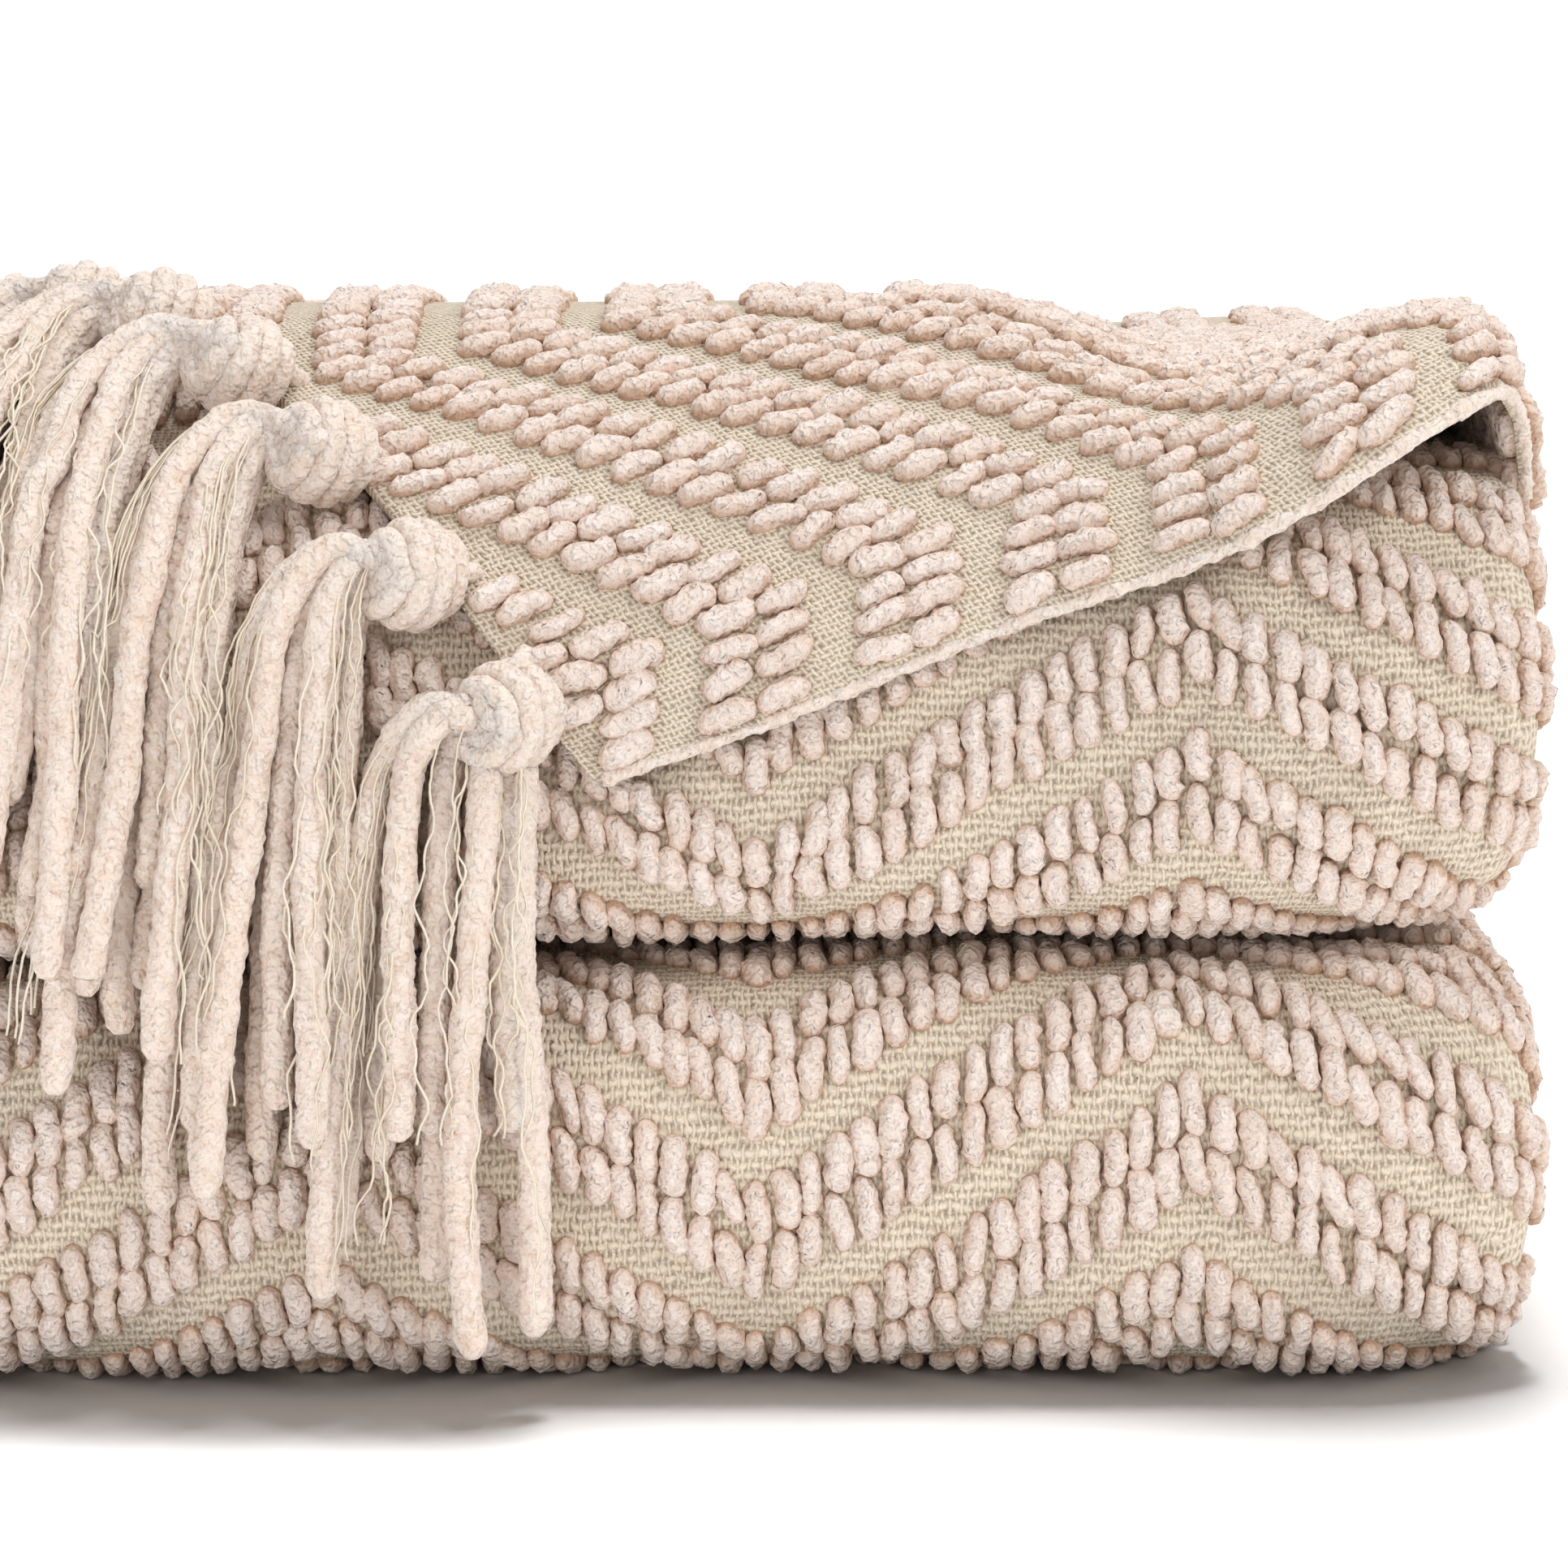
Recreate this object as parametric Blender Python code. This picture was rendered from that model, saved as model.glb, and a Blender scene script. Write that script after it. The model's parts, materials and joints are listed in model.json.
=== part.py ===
"""A chunky woven throw, folded twice into a stack of two bundles, with its top corner turned over the front.

The cloth is one sheet. It is pleated into a pack of four layers across its width, and the pack runs to
and fro in four runs, so that two rounded bundles face the front. A last layer, the flap, comes up over
the right end in a low arch, lies askew on the top and hangs over the front with its fringed corner.
Lengths in the tables are millimetres; X is to the right, Y to the back and Z up.
"""

import math

import bmesh
import bpy
from mathutils import Vector

MM = 0.001

# The pleated pack, as a section across the width
CLOTH_THICK = 6.4
LAYER_PITCH = 9.3
LEFT_END = -169.0
RIGHT_END = 163.0
# Each layer from the outer face of the bundles inwards: its offset in the pack and where its ends turn
LAYERS = (
    {"offset": 1.5 * LAYER_PITCH, "left": LEFT_END, "right": RIGHT_END},
    {"offset": 0.5 * LAYER_PITCH, "left": LEFT_END + 3.0, "right": RIGHT_END},
    {"offset": -0.5 * LAYER_PITCH, "left": LEFT_END + 3.0, "right": RIGHT_END - 4.0},
    {"offset": -1.5 * LAYER_PITCH, "left": LEFT_END + 6.0, "right": RIGHT_END - 4.0},
)
# Where a layer has section points, as shares of its flat width
LAYER_SHARES = (0.0, 0.08, 0.27, 0.5, 0.73, 0.86, 0.94, 1.0)
RIM_STEPS = 4

# The runs and turns of the pack, as a path in side view
PACK_HALF = 1.5 * LAYER_PITCH + CLOTH_THICK / 2
UPPER_PUFF = 1.26
TURN_GAP = 1.2
FRONT_LOWER = -168.6
FRONT_UPPER = -169.0
BACK = 170.0
TURN_REACH = 0.86
# Exponents of the turns' curves: a circle, and what the outer layers add to it
CIRCLE = 2.0
LOWER_SQUARE = 0.9
SHOULDER_SQUARE = -0.1
UPPER_SQUARE = 0.05
BACK_SQUARE = 0.6
RUN_STEPS = 4
TURN_STEPS = 7

# The flap on the top: its corner, the lean of its two edges and its lift in the arch
FLAP_CLEAR = 2.0
FLAP_CORNER_X = -2.0
FLAP_CORNER_BELOW = 6.0
SELVEDGE_SLOPE = math.tan(math.radians(18.3))
FRINGE_SLOPE = math.tan(math.radians(37.0))
FLAP_LEFT = -140.0
FLAP_LEFT_SKEW = 20.0
FLAP_BACK_MARGIN = 6.0
ARCH_START = 92.0
ARCH_TOP = 151.0
ARCH_END_X = 162.4
ARCH_END_LIFT = -10.0
ARCH_TAIL = 3.0
ARCH_HIGH = 18.0
ARCH_LOW = 2.0
ARCH_FULL = 60.0
ARCH_FADE = 130.0
FLAP_COLUMNS = (0.0, 0.1, 0.2, 0.3, 0.4, 0.5, 0.6, 0.68, 0.75, 0.81, 0.86, 0.9, 0.93, 0.96, 0.98, 1.0)
FLAP_ROWS = (1.5, 8, 16, 25, 35, 46, 57, 68, 80, 93, 108, 125, 145, 170, 200, 235, 270, 305, 340)

# The tassels along the fringed edge
TASSEL_FIRST = 16.0
TASSEL_PITCH = 27.5
KNOT_ALONG = 7.6
KNOT_ACROSS = 9.4
KNOT_DEEP = 8.0
KNOT_CLEAR = 0.4
KNOT_RINGS = 6
KNOT_SIDES = 10
STRAND_RADIUS = 2.72
STRAND_SIDES = 3
# Distances down a strand where it has a section, before its end
STRAND_STATIONS = (0.0, 12.0, 24.0, 36.0, 50.0, 64.0, 78.0, 92.0)
ROOT_RISE = 1.0
ROOT_GATHER = 0.65
ROOT_SLIM = 0.42
# How far each tassel's strands pass to the left of their knot, lean on the way down and spread
TASSELS = (
    {"aside": 6.0, "lean": 2.0, "spread": 2.0},
    {"aside": 15.5, "lean": 5.0, "spread": 1.3},
    {"aside": 19.5, "lean": 6.0, "spread": 1.1},
    {"aside": 21.5, "lean": 7.0, "spread": 1.0},
    {"aside": 21.5, "lean": 7.0, "spread": 0.97},
    {"aside": 21.5, "lean": 6.5, "spread": 0.96},
    {"aside": 21.0, "lean": 6.5, "spread": 0.95},
    {"aside": 20.5, "lean": 6.0, "spread": 0.94},
)
# Strands of one tassel: place across it, layer above the cloth and length
STRANDS = (
    {"across": -5.35, "layer": 0, "length": 106.0},
    {"across": 0.0, "layer": 0, "length": 113.0},
    {"across": 5.35, "layer": 0, "length": 100.0},
    {"across": -5.35, "layer": 1, "length": 110.0},
    {"across": 0.1, "layer": 1, "length": 97.0},
    {"across": 5.35, "layer": 1, "length": 114.0},
    {"across": -2.8, "layer": 2, "length": 102.0},
    {"across": 2.9, "layer": 2, "length": 108.0},
)
STRAND_FIRST_LIFT = 3.3
STRAND_LAYER = 4.9

# The stack's place, so that the origin is under the middle of its bounding box
PLACE_X = 2.7
PLACE_Y = 6.1

# How the stack has settled
FRONT_ZONE = 120.0
UPPER_START = 70.0
TOP_LEVEL = 165.0
DROOP = 8.0
DROOP_EASE = 0.86
SHOULDER_LEFT = -20.0
SHOULDER_RIGHT = 130.0
HEAVE = 17.2
HEAVE_Y = -94.5
HEAVE_FRONT = 36.0
HEAVE_BEHIND = 88.0
HEAVE_FROM = 20.0
HEAVE_LEFT = 70.0
HEAVE_LEFT_END = 172.0
LEAN = 14.5
LEAN_START = 79.0
LEAN_FULL = 120.0
SAG_RIGHT = 60.0
SAG_END = 125.0
BACK_DROP = 6.8
BACK_DROP_FROM = -60.0
GAP_RISE = 5.0
GAP_RISE_FROM = -80.0
CORNER_BACK = 13.0
CORNER_BACK_LEFT = 6.0
CORNER_START = 122.0
CORNER_WIDE = 38.0
END_START = 95.0
END_FULL = 160.0
# How far the right end stands out or in at each level, and over what height
END_BULGES = (
    {"level": 74.0, "height": 9.0, "out": -7.0},
    {"level": 36.0, "height": 20.0, "out": 3.0},
    {"level": 118.0, "height": 24.0, "out": 2.0},
)
LEFT_END_SHARE = 0.8
FRONT_WAVE = 1.3
TOP_WAVE = 0.9
WAVE_GROUND = 60.0


def blend(low, high, value):
    """0 below low, 1 above high and a smooth rise between."""
    t = min(1.0, max(0.0, (value - low) / (high - low)))
    return t * t * (3 - 2 * t)


def bump(centre, width, value):
    return math.exp(-(((value - centre) / width) ** 2))


def rounded(angle, squareness):
    """The unit point at this angle on a curve between a circle and a square."""
    c = abs(math.cos(angle))
    s = abs(math.sin(angle))
    reach = (c**squareness + s**squareness) ** (-1 / squareness)
    return reach * math.cos(angle), reach * math.sin(angle)


def run_levels():
    """Height of the middle of each run, from the lowest."""
    lower = PACK_HALF + TURN_GAP
    upper = PACK_HALF * UPPER_PUFF + TURN_GAP
    first = PACK_HALF
    second = first + 2 * lower
    third = second + lower + upper
    fourth = third + 2 * upper
    return first, second, third, fourth


RUN_LEVELS = run_levels()
LOWER_OUT = 2 * PACK_HALF + TURN_GAP
UPPER_OUT = 2 * PACK_HALF * UPPER_PUFF + TURN_GAP
LOWER_TURN_Y = FRONT_LOWER + TURN_REACH * LOWER_OUT
UPPER_TURN_Y = FRONT_UPPER + TURN_REACH * UPPER_OUT
LOWER_TURN_Z = (RUN_LEVELS[0] + RUN_LEVELS[1]) / 2
UPPER_TURN_Z = (RUN_LEVELS[2] + RUN_LEVELS[3]) / 2
BACK_TURN_Y = BACK - TURN_REACH * UPPER_OUT


def squareness(x, share, upper_half):
    """Outer layers turn more squarely than inner ones; the shoulder at the top left is the roundest."""
    if not upper_half:
        return CIRCLE + LOWER_SQUARE * share * share
    return CIRCLE + (SHOULDER_SQUARE + UPPER_SQUARE * blend(SHOULDER_LEFT, SHOULDER_RIGHT, x)) * share * share


def path_point(station, x, offset):
    """Side-view place of a point of the pack: station is a leg's number and how far along it, 0 to 1."""
    leg, t = station
    if leg == 0:
        return BACK + (LOWER_TURN_Y - BACK) * t, RUN_LEVELS[0] - offset
    if leg == 1:
        radius = PACK_HALF + TURN_GAP + offset
        across, up = rounded(math.pi * (t - 0.5), squareness(x, radius / LOWER_OUT, False))
        return LOWER_TURN_Y - TURN_REACH * radius * across, LOWER_TURN_Z + radius * up
    if leg == 2:
        return LOWER_TURN_Y + (BACK_TURN_Y - LOWER_TURN_Y) * t, RUN_LEVELS[1] + offset
    if leg == 3:
        puff = 1 + (UPPER_PUFF - 1) * t
        radius = PACK_HALF * puff + TURN_GAP - offset * puff
        angle = math.pi * (t - 0.5)
        across, up = rounded(angle, CIRCLE + BACK_SQUARE * (radius / UPPER_OUT) ** 2)
        centre = RUN_LEVELS[1] + PACK_HALF + TURN_GAP
        return BACK_TURN_Y + TURN_REACH * radius * across, centre + radius * up
    if leg == 4:
        return BACK_TURN_Y + (UPPER_TURN_Y - BACK_TURN_Y) * t, RUN_LEVELS[2] - offset * UPPER_PUFF
    if leg == 5:
        radius = PACK_HALF * UPPER_PUFF + TURN_GAP + offset * UPPER_PUFF
        square = squareness(x, radius / UPPER_OUT, t > 0.5)
        across, up = rounded(math.pi * (t - 0.5), square)
        return UPPER_TURN_Y - TURN_REACH * radius * across, UPPER_TURN_Z + radius * up
    return UPPER_TURN_Y + (BACK - UPPER_TURN_Y) * t, RUN_LEVELS[3] + offset * UPPER_PUFF


def stations():
    """Every place along the path where a section is made."""
    found = []
    for leg in range(7):
        steps = TURN_STEPS if leg % 2 else RUN_STEPS
        found += [(leg, i / steps) for i in range(steps)]
    return found + [(6, 1.0)]


def settle(point):
    """The ideal stack settled under its own weight: softened ends, a shoulder that leans back and swells up
    behind the front, a lower back and a risen gap."""
    x, y, z = point
    front = 1 - blend(FRONT_UPPER, FRONT_UPPER + FRONT_ZONE, y)
    high = blend(UPPER_START, TOP_LEVEL, z)
    height_share = min(1.0, max(0.0, z / END_FULL))
    ground = min(1.0, max(0.0, z / WAVE_GROUND))
    droop = DROOP * front * high * (1 - DROOP_EASE * blend(SHOULDER_LEFT, SHOULDER_RIGHT, x))
    middle = 1 - blend(SAG_RIGHT, SAG_END, x)
    lean = LEAN * front * blend(LEAN_START, LEAN_FULL, z) * middle
    swell = bump(HEAVE_Y, HEAVE_FRONT if y < HEAVE_Y else HEAVE_BEHIND, y)
    swell *= middle * (1 - blend(HEAVE_LEFT, HEAVE_LEFT_END, -x))
    heave = HEAVE * swell * blend(HEAVE_FROM, TOP_LEVEL, z)
    back_drop = BACK_DROP * high * blend(BACK_DROP_FROM, BACK, y)
    rise = GAP_RISE * blend(GAP_RISE_FROM, END_FULL, x) * math.sin(math.pi * height_share)
    right = max(0.0, (x - CORNER_START) / CORNER_WIDE)
    left = max(0.0, (-CORNER_START - x) / CORNER_WIDE)
    corners = front * (CORNER_BACK * right * right + CORNER_BACK_LEFT * left * left)
    ends = sum(row["out"] * bump(row["level"], row["height"], z) for row in END_BULGES)
    outward = blend(END_START, END_FULL, x) - LEFT_END_SHARE * blend(-END_START, -END_FULL, x)
    wave_y = FRONT_WAVE * math.sin(x / 38.0 + 0.6) * math.cos(z / 31.0)
    wave_z = TOP_WAVE * math.sin(x / 47.0 + y / 90.0) * math.cos(y / 53.0) * ground
    moved_x = x + ends * outward + PLACE_X
    moved_y = y + corners + lean + wave_y + PLACE_Y
    moved_z = z + heave + rise - droop - back_drop + wave_z
    return Vector((moved_x, moved_y, moved_z)) * MM


def pack_section():
    """The pleated section as its two faces: lists of (x, offset) along one face and along the other."""
    middle = []
    for number, layer in enumerate(LAYERS):
        start, end = (layer["left"], layer["right"]) if number % 2 == 0 else (layer["right"], layer["left"])
        inset = LAYER_PITCH / 2 + CLOTH_THICK / 2
        way = 1 if end > start else -1
        first = start if number == 0 else start + way * inset
        last = end if number == len(LAYERS) - 1 else end - way * inset
        for share in LAYER_SHARES if way > 0 else [1 - share for share in LAYER_SHARES[::-1]]:
            middle.append((first + (last - first) * share, layer["offset"], 0.0, 1.0 * way))
        if number == len(LAYERS) - 1:
            break
        for i in range(1, RIM_STEPS):
            angle = math.pi * i / RIM_STEPS
            nx, na = way * math.sin(angle), math.cos(angle)
            radius = LAYER_PITCH / 2
            middle.append((last + radius * nx, layer["offset"] - radius + radius * na, nx * way, na * way))
    return middle


def section_faces():
    outer = []
    inner = []
    for x, offset, nx, na in pack_section():
        outer.append((x + nx * CLOTH_THICK / 2, offset + na * CLOTH_THICK / 2))
        inner.append((x - nx * CLOTH_THICK / 2, offset - na * CLOTH_THICK / 2))
    return outer, inner


def new_object(name, mesh_data, collection):
    mesh = bpy.data.meshes.new(name)
    mesh_data.to_mesh(mesh)
    mesh_data.free()
    made = bpy.data.objects.new(name, mesh)
    collection.objects.link(made)
    return made


def lofted(rings, name, collection):
    """A closed body through rings of the same number of points, with flat ends."""
    data = bmesh.new()
    grid = [[data.verts.new(point) for point in ring] for ring in rings]
    count = len(rings[0])
    for lower, upper in zip(grid, grid[1:]):
        for i in range(count):
            j = (i + 1) % count
            data.faces.new((lower[i], lower[j], upper[j], upper[i]))
    for ring in (grid[0], grid[-1]):
        if count > 12:
            half = count // 2
            for i in range(half - 1):
                data.faces.new((ring[i], ring[i + 1], ring[count - 2 - i], ring[count - 1 - i]))
        else:
            data.faces.new(ring)
    bmesh.ops.recalc_face_normals(data, faces=data.faces)
    return new_object(name, data, collection)


def make_pack(collection):
    outer, inner = section_faces()
    section = outer + inner[::-1]
    rings = []
    for station in stations():
        ring = []
        for x, offset in section:
            y, z = path_point(station, x, offset)
            ring.append(settle((x, y, z)))
        rings.append(ring)
    return lofted(rings, "throw", collection)


def shoulder_point(x, reach, lift):
    """Place on the front and top of the upper bundle: reach is the way up from its middle, lift the height."""
    radius = UPPER_OUT + lift
    quarter = math.pi / 2 * UPPER_OUT * (1 + TURN_REACH) / 2
    if reach <= 0:
        return Vector((x, UPPER_TURN_Y - TURN_REACH * radius, UPPER_TURN_Z + reach))
    if reach < quarter:
        across, up = rounded(math.pi / 2 * reach / quarter, squareness(x, 1.0, True))
        return Vector((x, UPPER_TURN_Y - TURN_REACH * radius * across, UPPER_TURN_Z + radius * up))
    return Vector((x, UPPER_TURN_Y + reach - quarter, UPPER_TURN_Z + radius))


SHOULDER = math.pi / 2 * UPPER_OUT * (1 + TURN_REACH) / 2
FLAP_REACH_BACK = SHOULDER + BACK - FLAP_BACK_MARGIN - UPPER_TURN_Y
FLAP_LIFT = FLAP_CLEAR + CLOTH_THICK / 2


def arch_height(reach):
    return ARCH_LOW + (ARCH_HIGH - ARCH_LOW) * (1 - blend(ARCH_FULL, ARCH_FULL + ARCH_FADE, reach))


def arch_at(along, reach):
    """The flap's way across the width: flat, then up into the arch and down over the right end."""
    high = arch_height(reach)
    if along < ARCH_TOP:
        return along, FLAP_LIFT + high * blend(ARCH_START, ARCH_TOP, along)
    across = ARCH_END_X - ARCH_TOP
    drop = FLAP_LIFT + high - ARCH_END_LIFT
    quarter = math.pi / 2 * math.sqrt((across**2 + drop**2) / 2)
    turned = min(1.0, (along - ARCH_TOP) / quarter)
    angle = math.pi / 2 * turned
    extra = max(0.0, along - ARCH_TOP - quarter)
    return ARCH_TOP + across * math.sin(angle), ARCH_END_LIFT + drop * math.cos(angle) - extra


def arch_length(reach):
    high = arch_height(reach)
    across = ARCH_END_X - ARCH_TOP
    drop = FLAP_LIFT + high - ARCH_END_LIFT
    return ARCH_TOP + math.pi / 2 * math.sqrt((across**2 + drop**2) / 2) + ARCH_TAIL


def flap_middle(along, above):
    """Middle of the flap's cloth: along is the way to the right, above the way up from the hanging corner."""
    reach = above - FLAP_CORNER_BELOW
    x, lift = arch_at(along, reach)
    return shoulder_point(x, reach, lift)


def flap_edges(above):
    """Left and right ends of the flap at this way up from its corner."""
    turn = (FLAP_CORNER_X - FLAP_LEFT) / FRINGE_SLOPE
    if above < turn:
        left = FLAP_CORNER_X - above * FRINGE_SLOPE
    else:
        left = FLAP_LEFT - FLAP_LEFT_SKEW * (above - turn) / (FLAP_REACH_BACK + FLAP_CORNER_BELOW - turn)
    right = min(FLAP_CORNER_X + above / SELVEDGE_SLOPE, arch_length(above - FLAP_CORNER_BELOW))
    return left, right


def flap_face(along, above, side):
    step = 0.5
    across = flap_middle(along + step, above) - flap_middle(along - step, above)
    up = flap_middle(along, above + step) - flap_middle(along, above - step)
    normal = across.cross(up).normalized()
    return flap_middle(along, above) + normal * side * CLOTH_THICK / 2


def make_flap(collection):
    rows = [row for row in FLAP_ROWS if row < FLAP_REACH_BACK + FLAP_CORNER_BELOW]
    rows.append(FLAP_REACH_BACK + FLAP_CORNER_BELOW)
    rings = []
    for above in rows:
        left, right = flap_edges(above)
        places = [left + (right - left) * share for share in FLAP_COLUMNS]
        upper = [settle(flap_face(along, above, 1)) for along in places]
        under = [settle(flap_face(along, above, -1)) for along in places]
        rings.append(upper + under[::-1])
    return lofted(rings, "flap", collection)


def joined(base, others, name):
    """One body made of the base and the others, by a Boolean union."""
    for other in others:
        union = base.modifiers.new("join_" + other.name, "BOOLEAN")
        union.operation = "UNION"
        union.solver = "EXACT"
        union.object = other
    base.name = name
    return base


def edge_frame(number):
    """Where a tassel's place is on the flap's chart: along and above, at the middle of its knot."""
    down = TASSEL_FIRST + TASSEL_PITCH * number
    lean = math.atan(FRINGE_SLOPE)
    edge_x = FLAP_CORNER_X - down * math.sin(lean)
    edge_above = down * math.cos(lean)
    off = KNOT_ALONG * math.cos(math.pi / KNOT_RINGS) + KNOT_CLEAR
    return edge_x - off * math.cos(lean), edge_above - off * math.sin(lean)


def tassel_place(along, above, lift):
    return settle(shoulder_point(along, above - FLAP_CORNER_BELOW, lift))


def make_knot(number, collection):
    x0, above0 = edge_frame(number)
    lean = math.atan(FRINGE_SLOPE)
    centre_lift = KNOT_DEEP + 0.9
    rings = []
    for i in range(1, KNOT_RINGS):
        polar = math.pi * i / KNOT_RINGS
        ring = []
        for j in range(KNOT_SIDES):
            turn = 2 * math.pi * j / KNOT_SIDES
            along = KNOT_ALONG * math.cos(polar)
            across = KNOT_ACROSS * math.sin(polar) * math.cos(turn)
            lift = KNOT_DEEP * math.sin(polar) * math.sin(turn)
            x = x0 + along * math.cos(lean) - across * math.sin(lean)
            above = above0 + along * math.sin(lean) + across * math.cos(lean)
            ring.append(tassel_place(x, above, centre_lift + lift))
        rings.append(ring)
    return lofted(rings, f"tassel_{number + 1}", collection)


def strand_way(number, strand, down):
    """Chart place of a strand's middle this far from its root: out of the knot to the left, then down."""
    x0, above0 = edge_frame(number)
    tassel = TASSELS[number]
    aside = tassel["aside"] * blend(0.0, STRAND_STATIONS[3], down)
    aside += tassel["lean"] * down / STRAND_STATIONS[-1]
    sway = 0.01 * down * math.sin(2.2 * number + 0.05 * down)
    gather = ROOT_GATHER + (1 - ROOT_GATHER) * min(1.0, down / STRAND_STATIONS[1])
    spread = gather * (1 + (tassel["spread"] - 1) * blend(STRAND_STATIONS[1], STRAND_STATIONS[4], down))
    along = x0 - aside + strand["across"] * spread + sway
    middle = STRAND_FIRST_LIFT + STRAND_LAYER
    lift = middle + STRAND_LAYER * (strand["layer"] - 1) * gather
    return along, above0 + ROOT_RISE - down, lift


def make_strand(number, order, strand, collection):
    rings = []
    halfway = (STRAND_STATIONS[-1] + strand["length"]) / 2
    for down in STRAND_STATIONS + (halfway, strand["length"]):
        along, above, lift = strand_way(number, strand, down)
        slim = STRAND_RADIUS * (ROOT_SLIM if down == 0 else 1.0)
        ring = []
        for j in range(STRAND_SIDES):
            turn = 2 * math.pi * (j / STRAND_SIDES + 0.25)
            ring.append(tassel_place(along + slim * math.cos(turn), above, lift + slim * math.sin(turn)))
        rings.append(ring)
    return lofted(rings, f"strand_{number + 1}_{order + 1}", collection)


def make_tassel(number, parts, joins):
    knot = make_knot(number, parts)
    strands = [make_strand(number, order, strand, joins) for order, strand in enumerate(STRANDS)]
    return joined(knot, strands, f"tassel_{number + 1}")


def material(name, colour, roughness):
    made = bpy.data.materials.new(name)
    made.use_nodes = True
    shader = made.node_tree.nodes["Principled BSDF"]
    shader.inputs["Base Color"].default_value = (*colour, 1.0)
    shader.inputs["Roughness"].default_value = roughness
    return made


def cleared_scene():
    for old in list(bpy.data.objects):
        bpy.data.objects.remove(old, do_unlink=True)
    parts = bpy.data.collections.new("folded_throw")
    joins = bpy.data.collections.new("join_bodies")
    for group in (parts, joins):
        bpy.context.scene.collection.children.link(group)
    joins.hide_render = True
    return parts, joins


def main():
    parts, joins = cleared_scene()
    throw = joined(make_pack(parts), [make_flap(joins)], "throw")
    throw.data.materials.append(material("woven_chenille", (0.72, 0.60, 0.50), 0.9))
    for number in range(len(TASSELS)):
        tassel = make_tassel(number, parts, joins)
        tassel.data.materials.append(material(f"chenille_yarn_{number + 1}", (0.76, 0.62, 0.54), 0.9))
    for helper in joins.objects:
        helper.hide_render = True
        helper.display_type = "WIRE"


main()
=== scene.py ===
"""Looks of the folded throw: woven ground cloth, raised chenille floats and knotted tassels.

The cloth and the fringe follow the same folds as the solids. Lengths in the tables are millimetres in the
frame of the folds, and every mesh is made in metres.
"""

import json
import math

import bpy
import numpy as np
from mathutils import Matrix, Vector

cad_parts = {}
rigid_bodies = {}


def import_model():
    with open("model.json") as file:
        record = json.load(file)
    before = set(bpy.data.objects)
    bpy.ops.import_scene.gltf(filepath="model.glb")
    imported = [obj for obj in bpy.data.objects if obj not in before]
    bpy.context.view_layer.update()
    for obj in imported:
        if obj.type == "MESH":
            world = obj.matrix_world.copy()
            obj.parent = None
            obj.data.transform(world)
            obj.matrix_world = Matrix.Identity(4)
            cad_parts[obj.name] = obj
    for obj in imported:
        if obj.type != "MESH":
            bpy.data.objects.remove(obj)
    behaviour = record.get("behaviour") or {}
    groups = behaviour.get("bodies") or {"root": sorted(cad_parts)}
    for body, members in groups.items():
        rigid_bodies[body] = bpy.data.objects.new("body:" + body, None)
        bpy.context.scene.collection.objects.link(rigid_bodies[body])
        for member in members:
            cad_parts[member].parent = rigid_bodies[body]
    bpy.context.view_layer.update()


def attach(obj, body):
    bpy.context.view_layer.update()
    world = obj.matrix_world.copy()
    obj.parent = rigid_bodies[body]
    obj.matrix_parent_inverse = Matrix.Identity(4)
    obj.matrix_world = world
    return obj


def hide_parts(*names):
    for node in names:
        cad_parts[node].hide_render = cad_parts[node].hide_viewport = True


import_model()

MM = 0.001


def table(keys, *rows):
    """The rows of a table, each as a dictionary with these keys."""
    return tuple(dict(zip(keys.split(), row)) for row in rows)


# The pleated pack, as a section across the width
CLOTH_THICK = 6.4
LAYER_PITCH = 9.3
LEFT_END = -169.0
RIGHT_END = 163.0
LAYERS = table(
    "offset left right",
    (1.5 * LAYER_PITCH, LEFT_END, RIGHT_END),
    (0.5 * LAYER_PITCH, LEFT_END + 3.0, RIGHT_END),
    (-0.5 * LAYER_PITCH, LEFT_END + 3.0, RIGHT_END - 4.0),
    (-1.5 * LAYER_PITCH, LEFT_END + 6.0, RIGHT_END - 4.0),
)
OUTER = 1.5 * LAYER_PITCH
RIM_INSET = LAYER_PITCH / 2 + CLOTH_THICK / 2
RIM_RADIUS = LAYER_PITCH / 2

# The runs and turns of the pack, as a path in side view
PACK_HALF = OUTER + CLOTH_THICK / 2
LEGS = 7
UPPER_PUFF = 1.26
TURN_GAP = 1.2
FRONT_LOWER = -168.6
FRONT_UPPER = -169.0
BACK = 170.0
TURN_REACH = 0.86
CIRCLE = 2.0
LOWER_SQUARE = 0.9
SHOULDER_SQUARE = -0.1
UPPER_SQUARE = 0.05
BACK_SQUARE = 0.6

# The flap on the top
FLAP_CLEAR = 2.0
FLAP_CORNER_X = -2.0
FLAP_CORNER_BELOW = 6.0
SELVEDGE_LEAN = math.radians(18.3)
FRINGE_LEAN = math.radians(37.0)
FLAP_LEFT = -140.0
FLAP_LEFT_SKEW = 20.0
FLAP_BACK_MARGIN = 6.0
ARCH_START = 92.0
ARCH_TOP = 151.0
ARCH_END_X = 162.4
ARCH_END_LIFT = -10.0
ARCH_TAIL = 3.0
ARCH_HIGH = 18.0
ARCH_LOW = 2.0
ARCH_FADE = (60.0, 190.0)
NORMAL_STEP = 0.5

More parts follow.
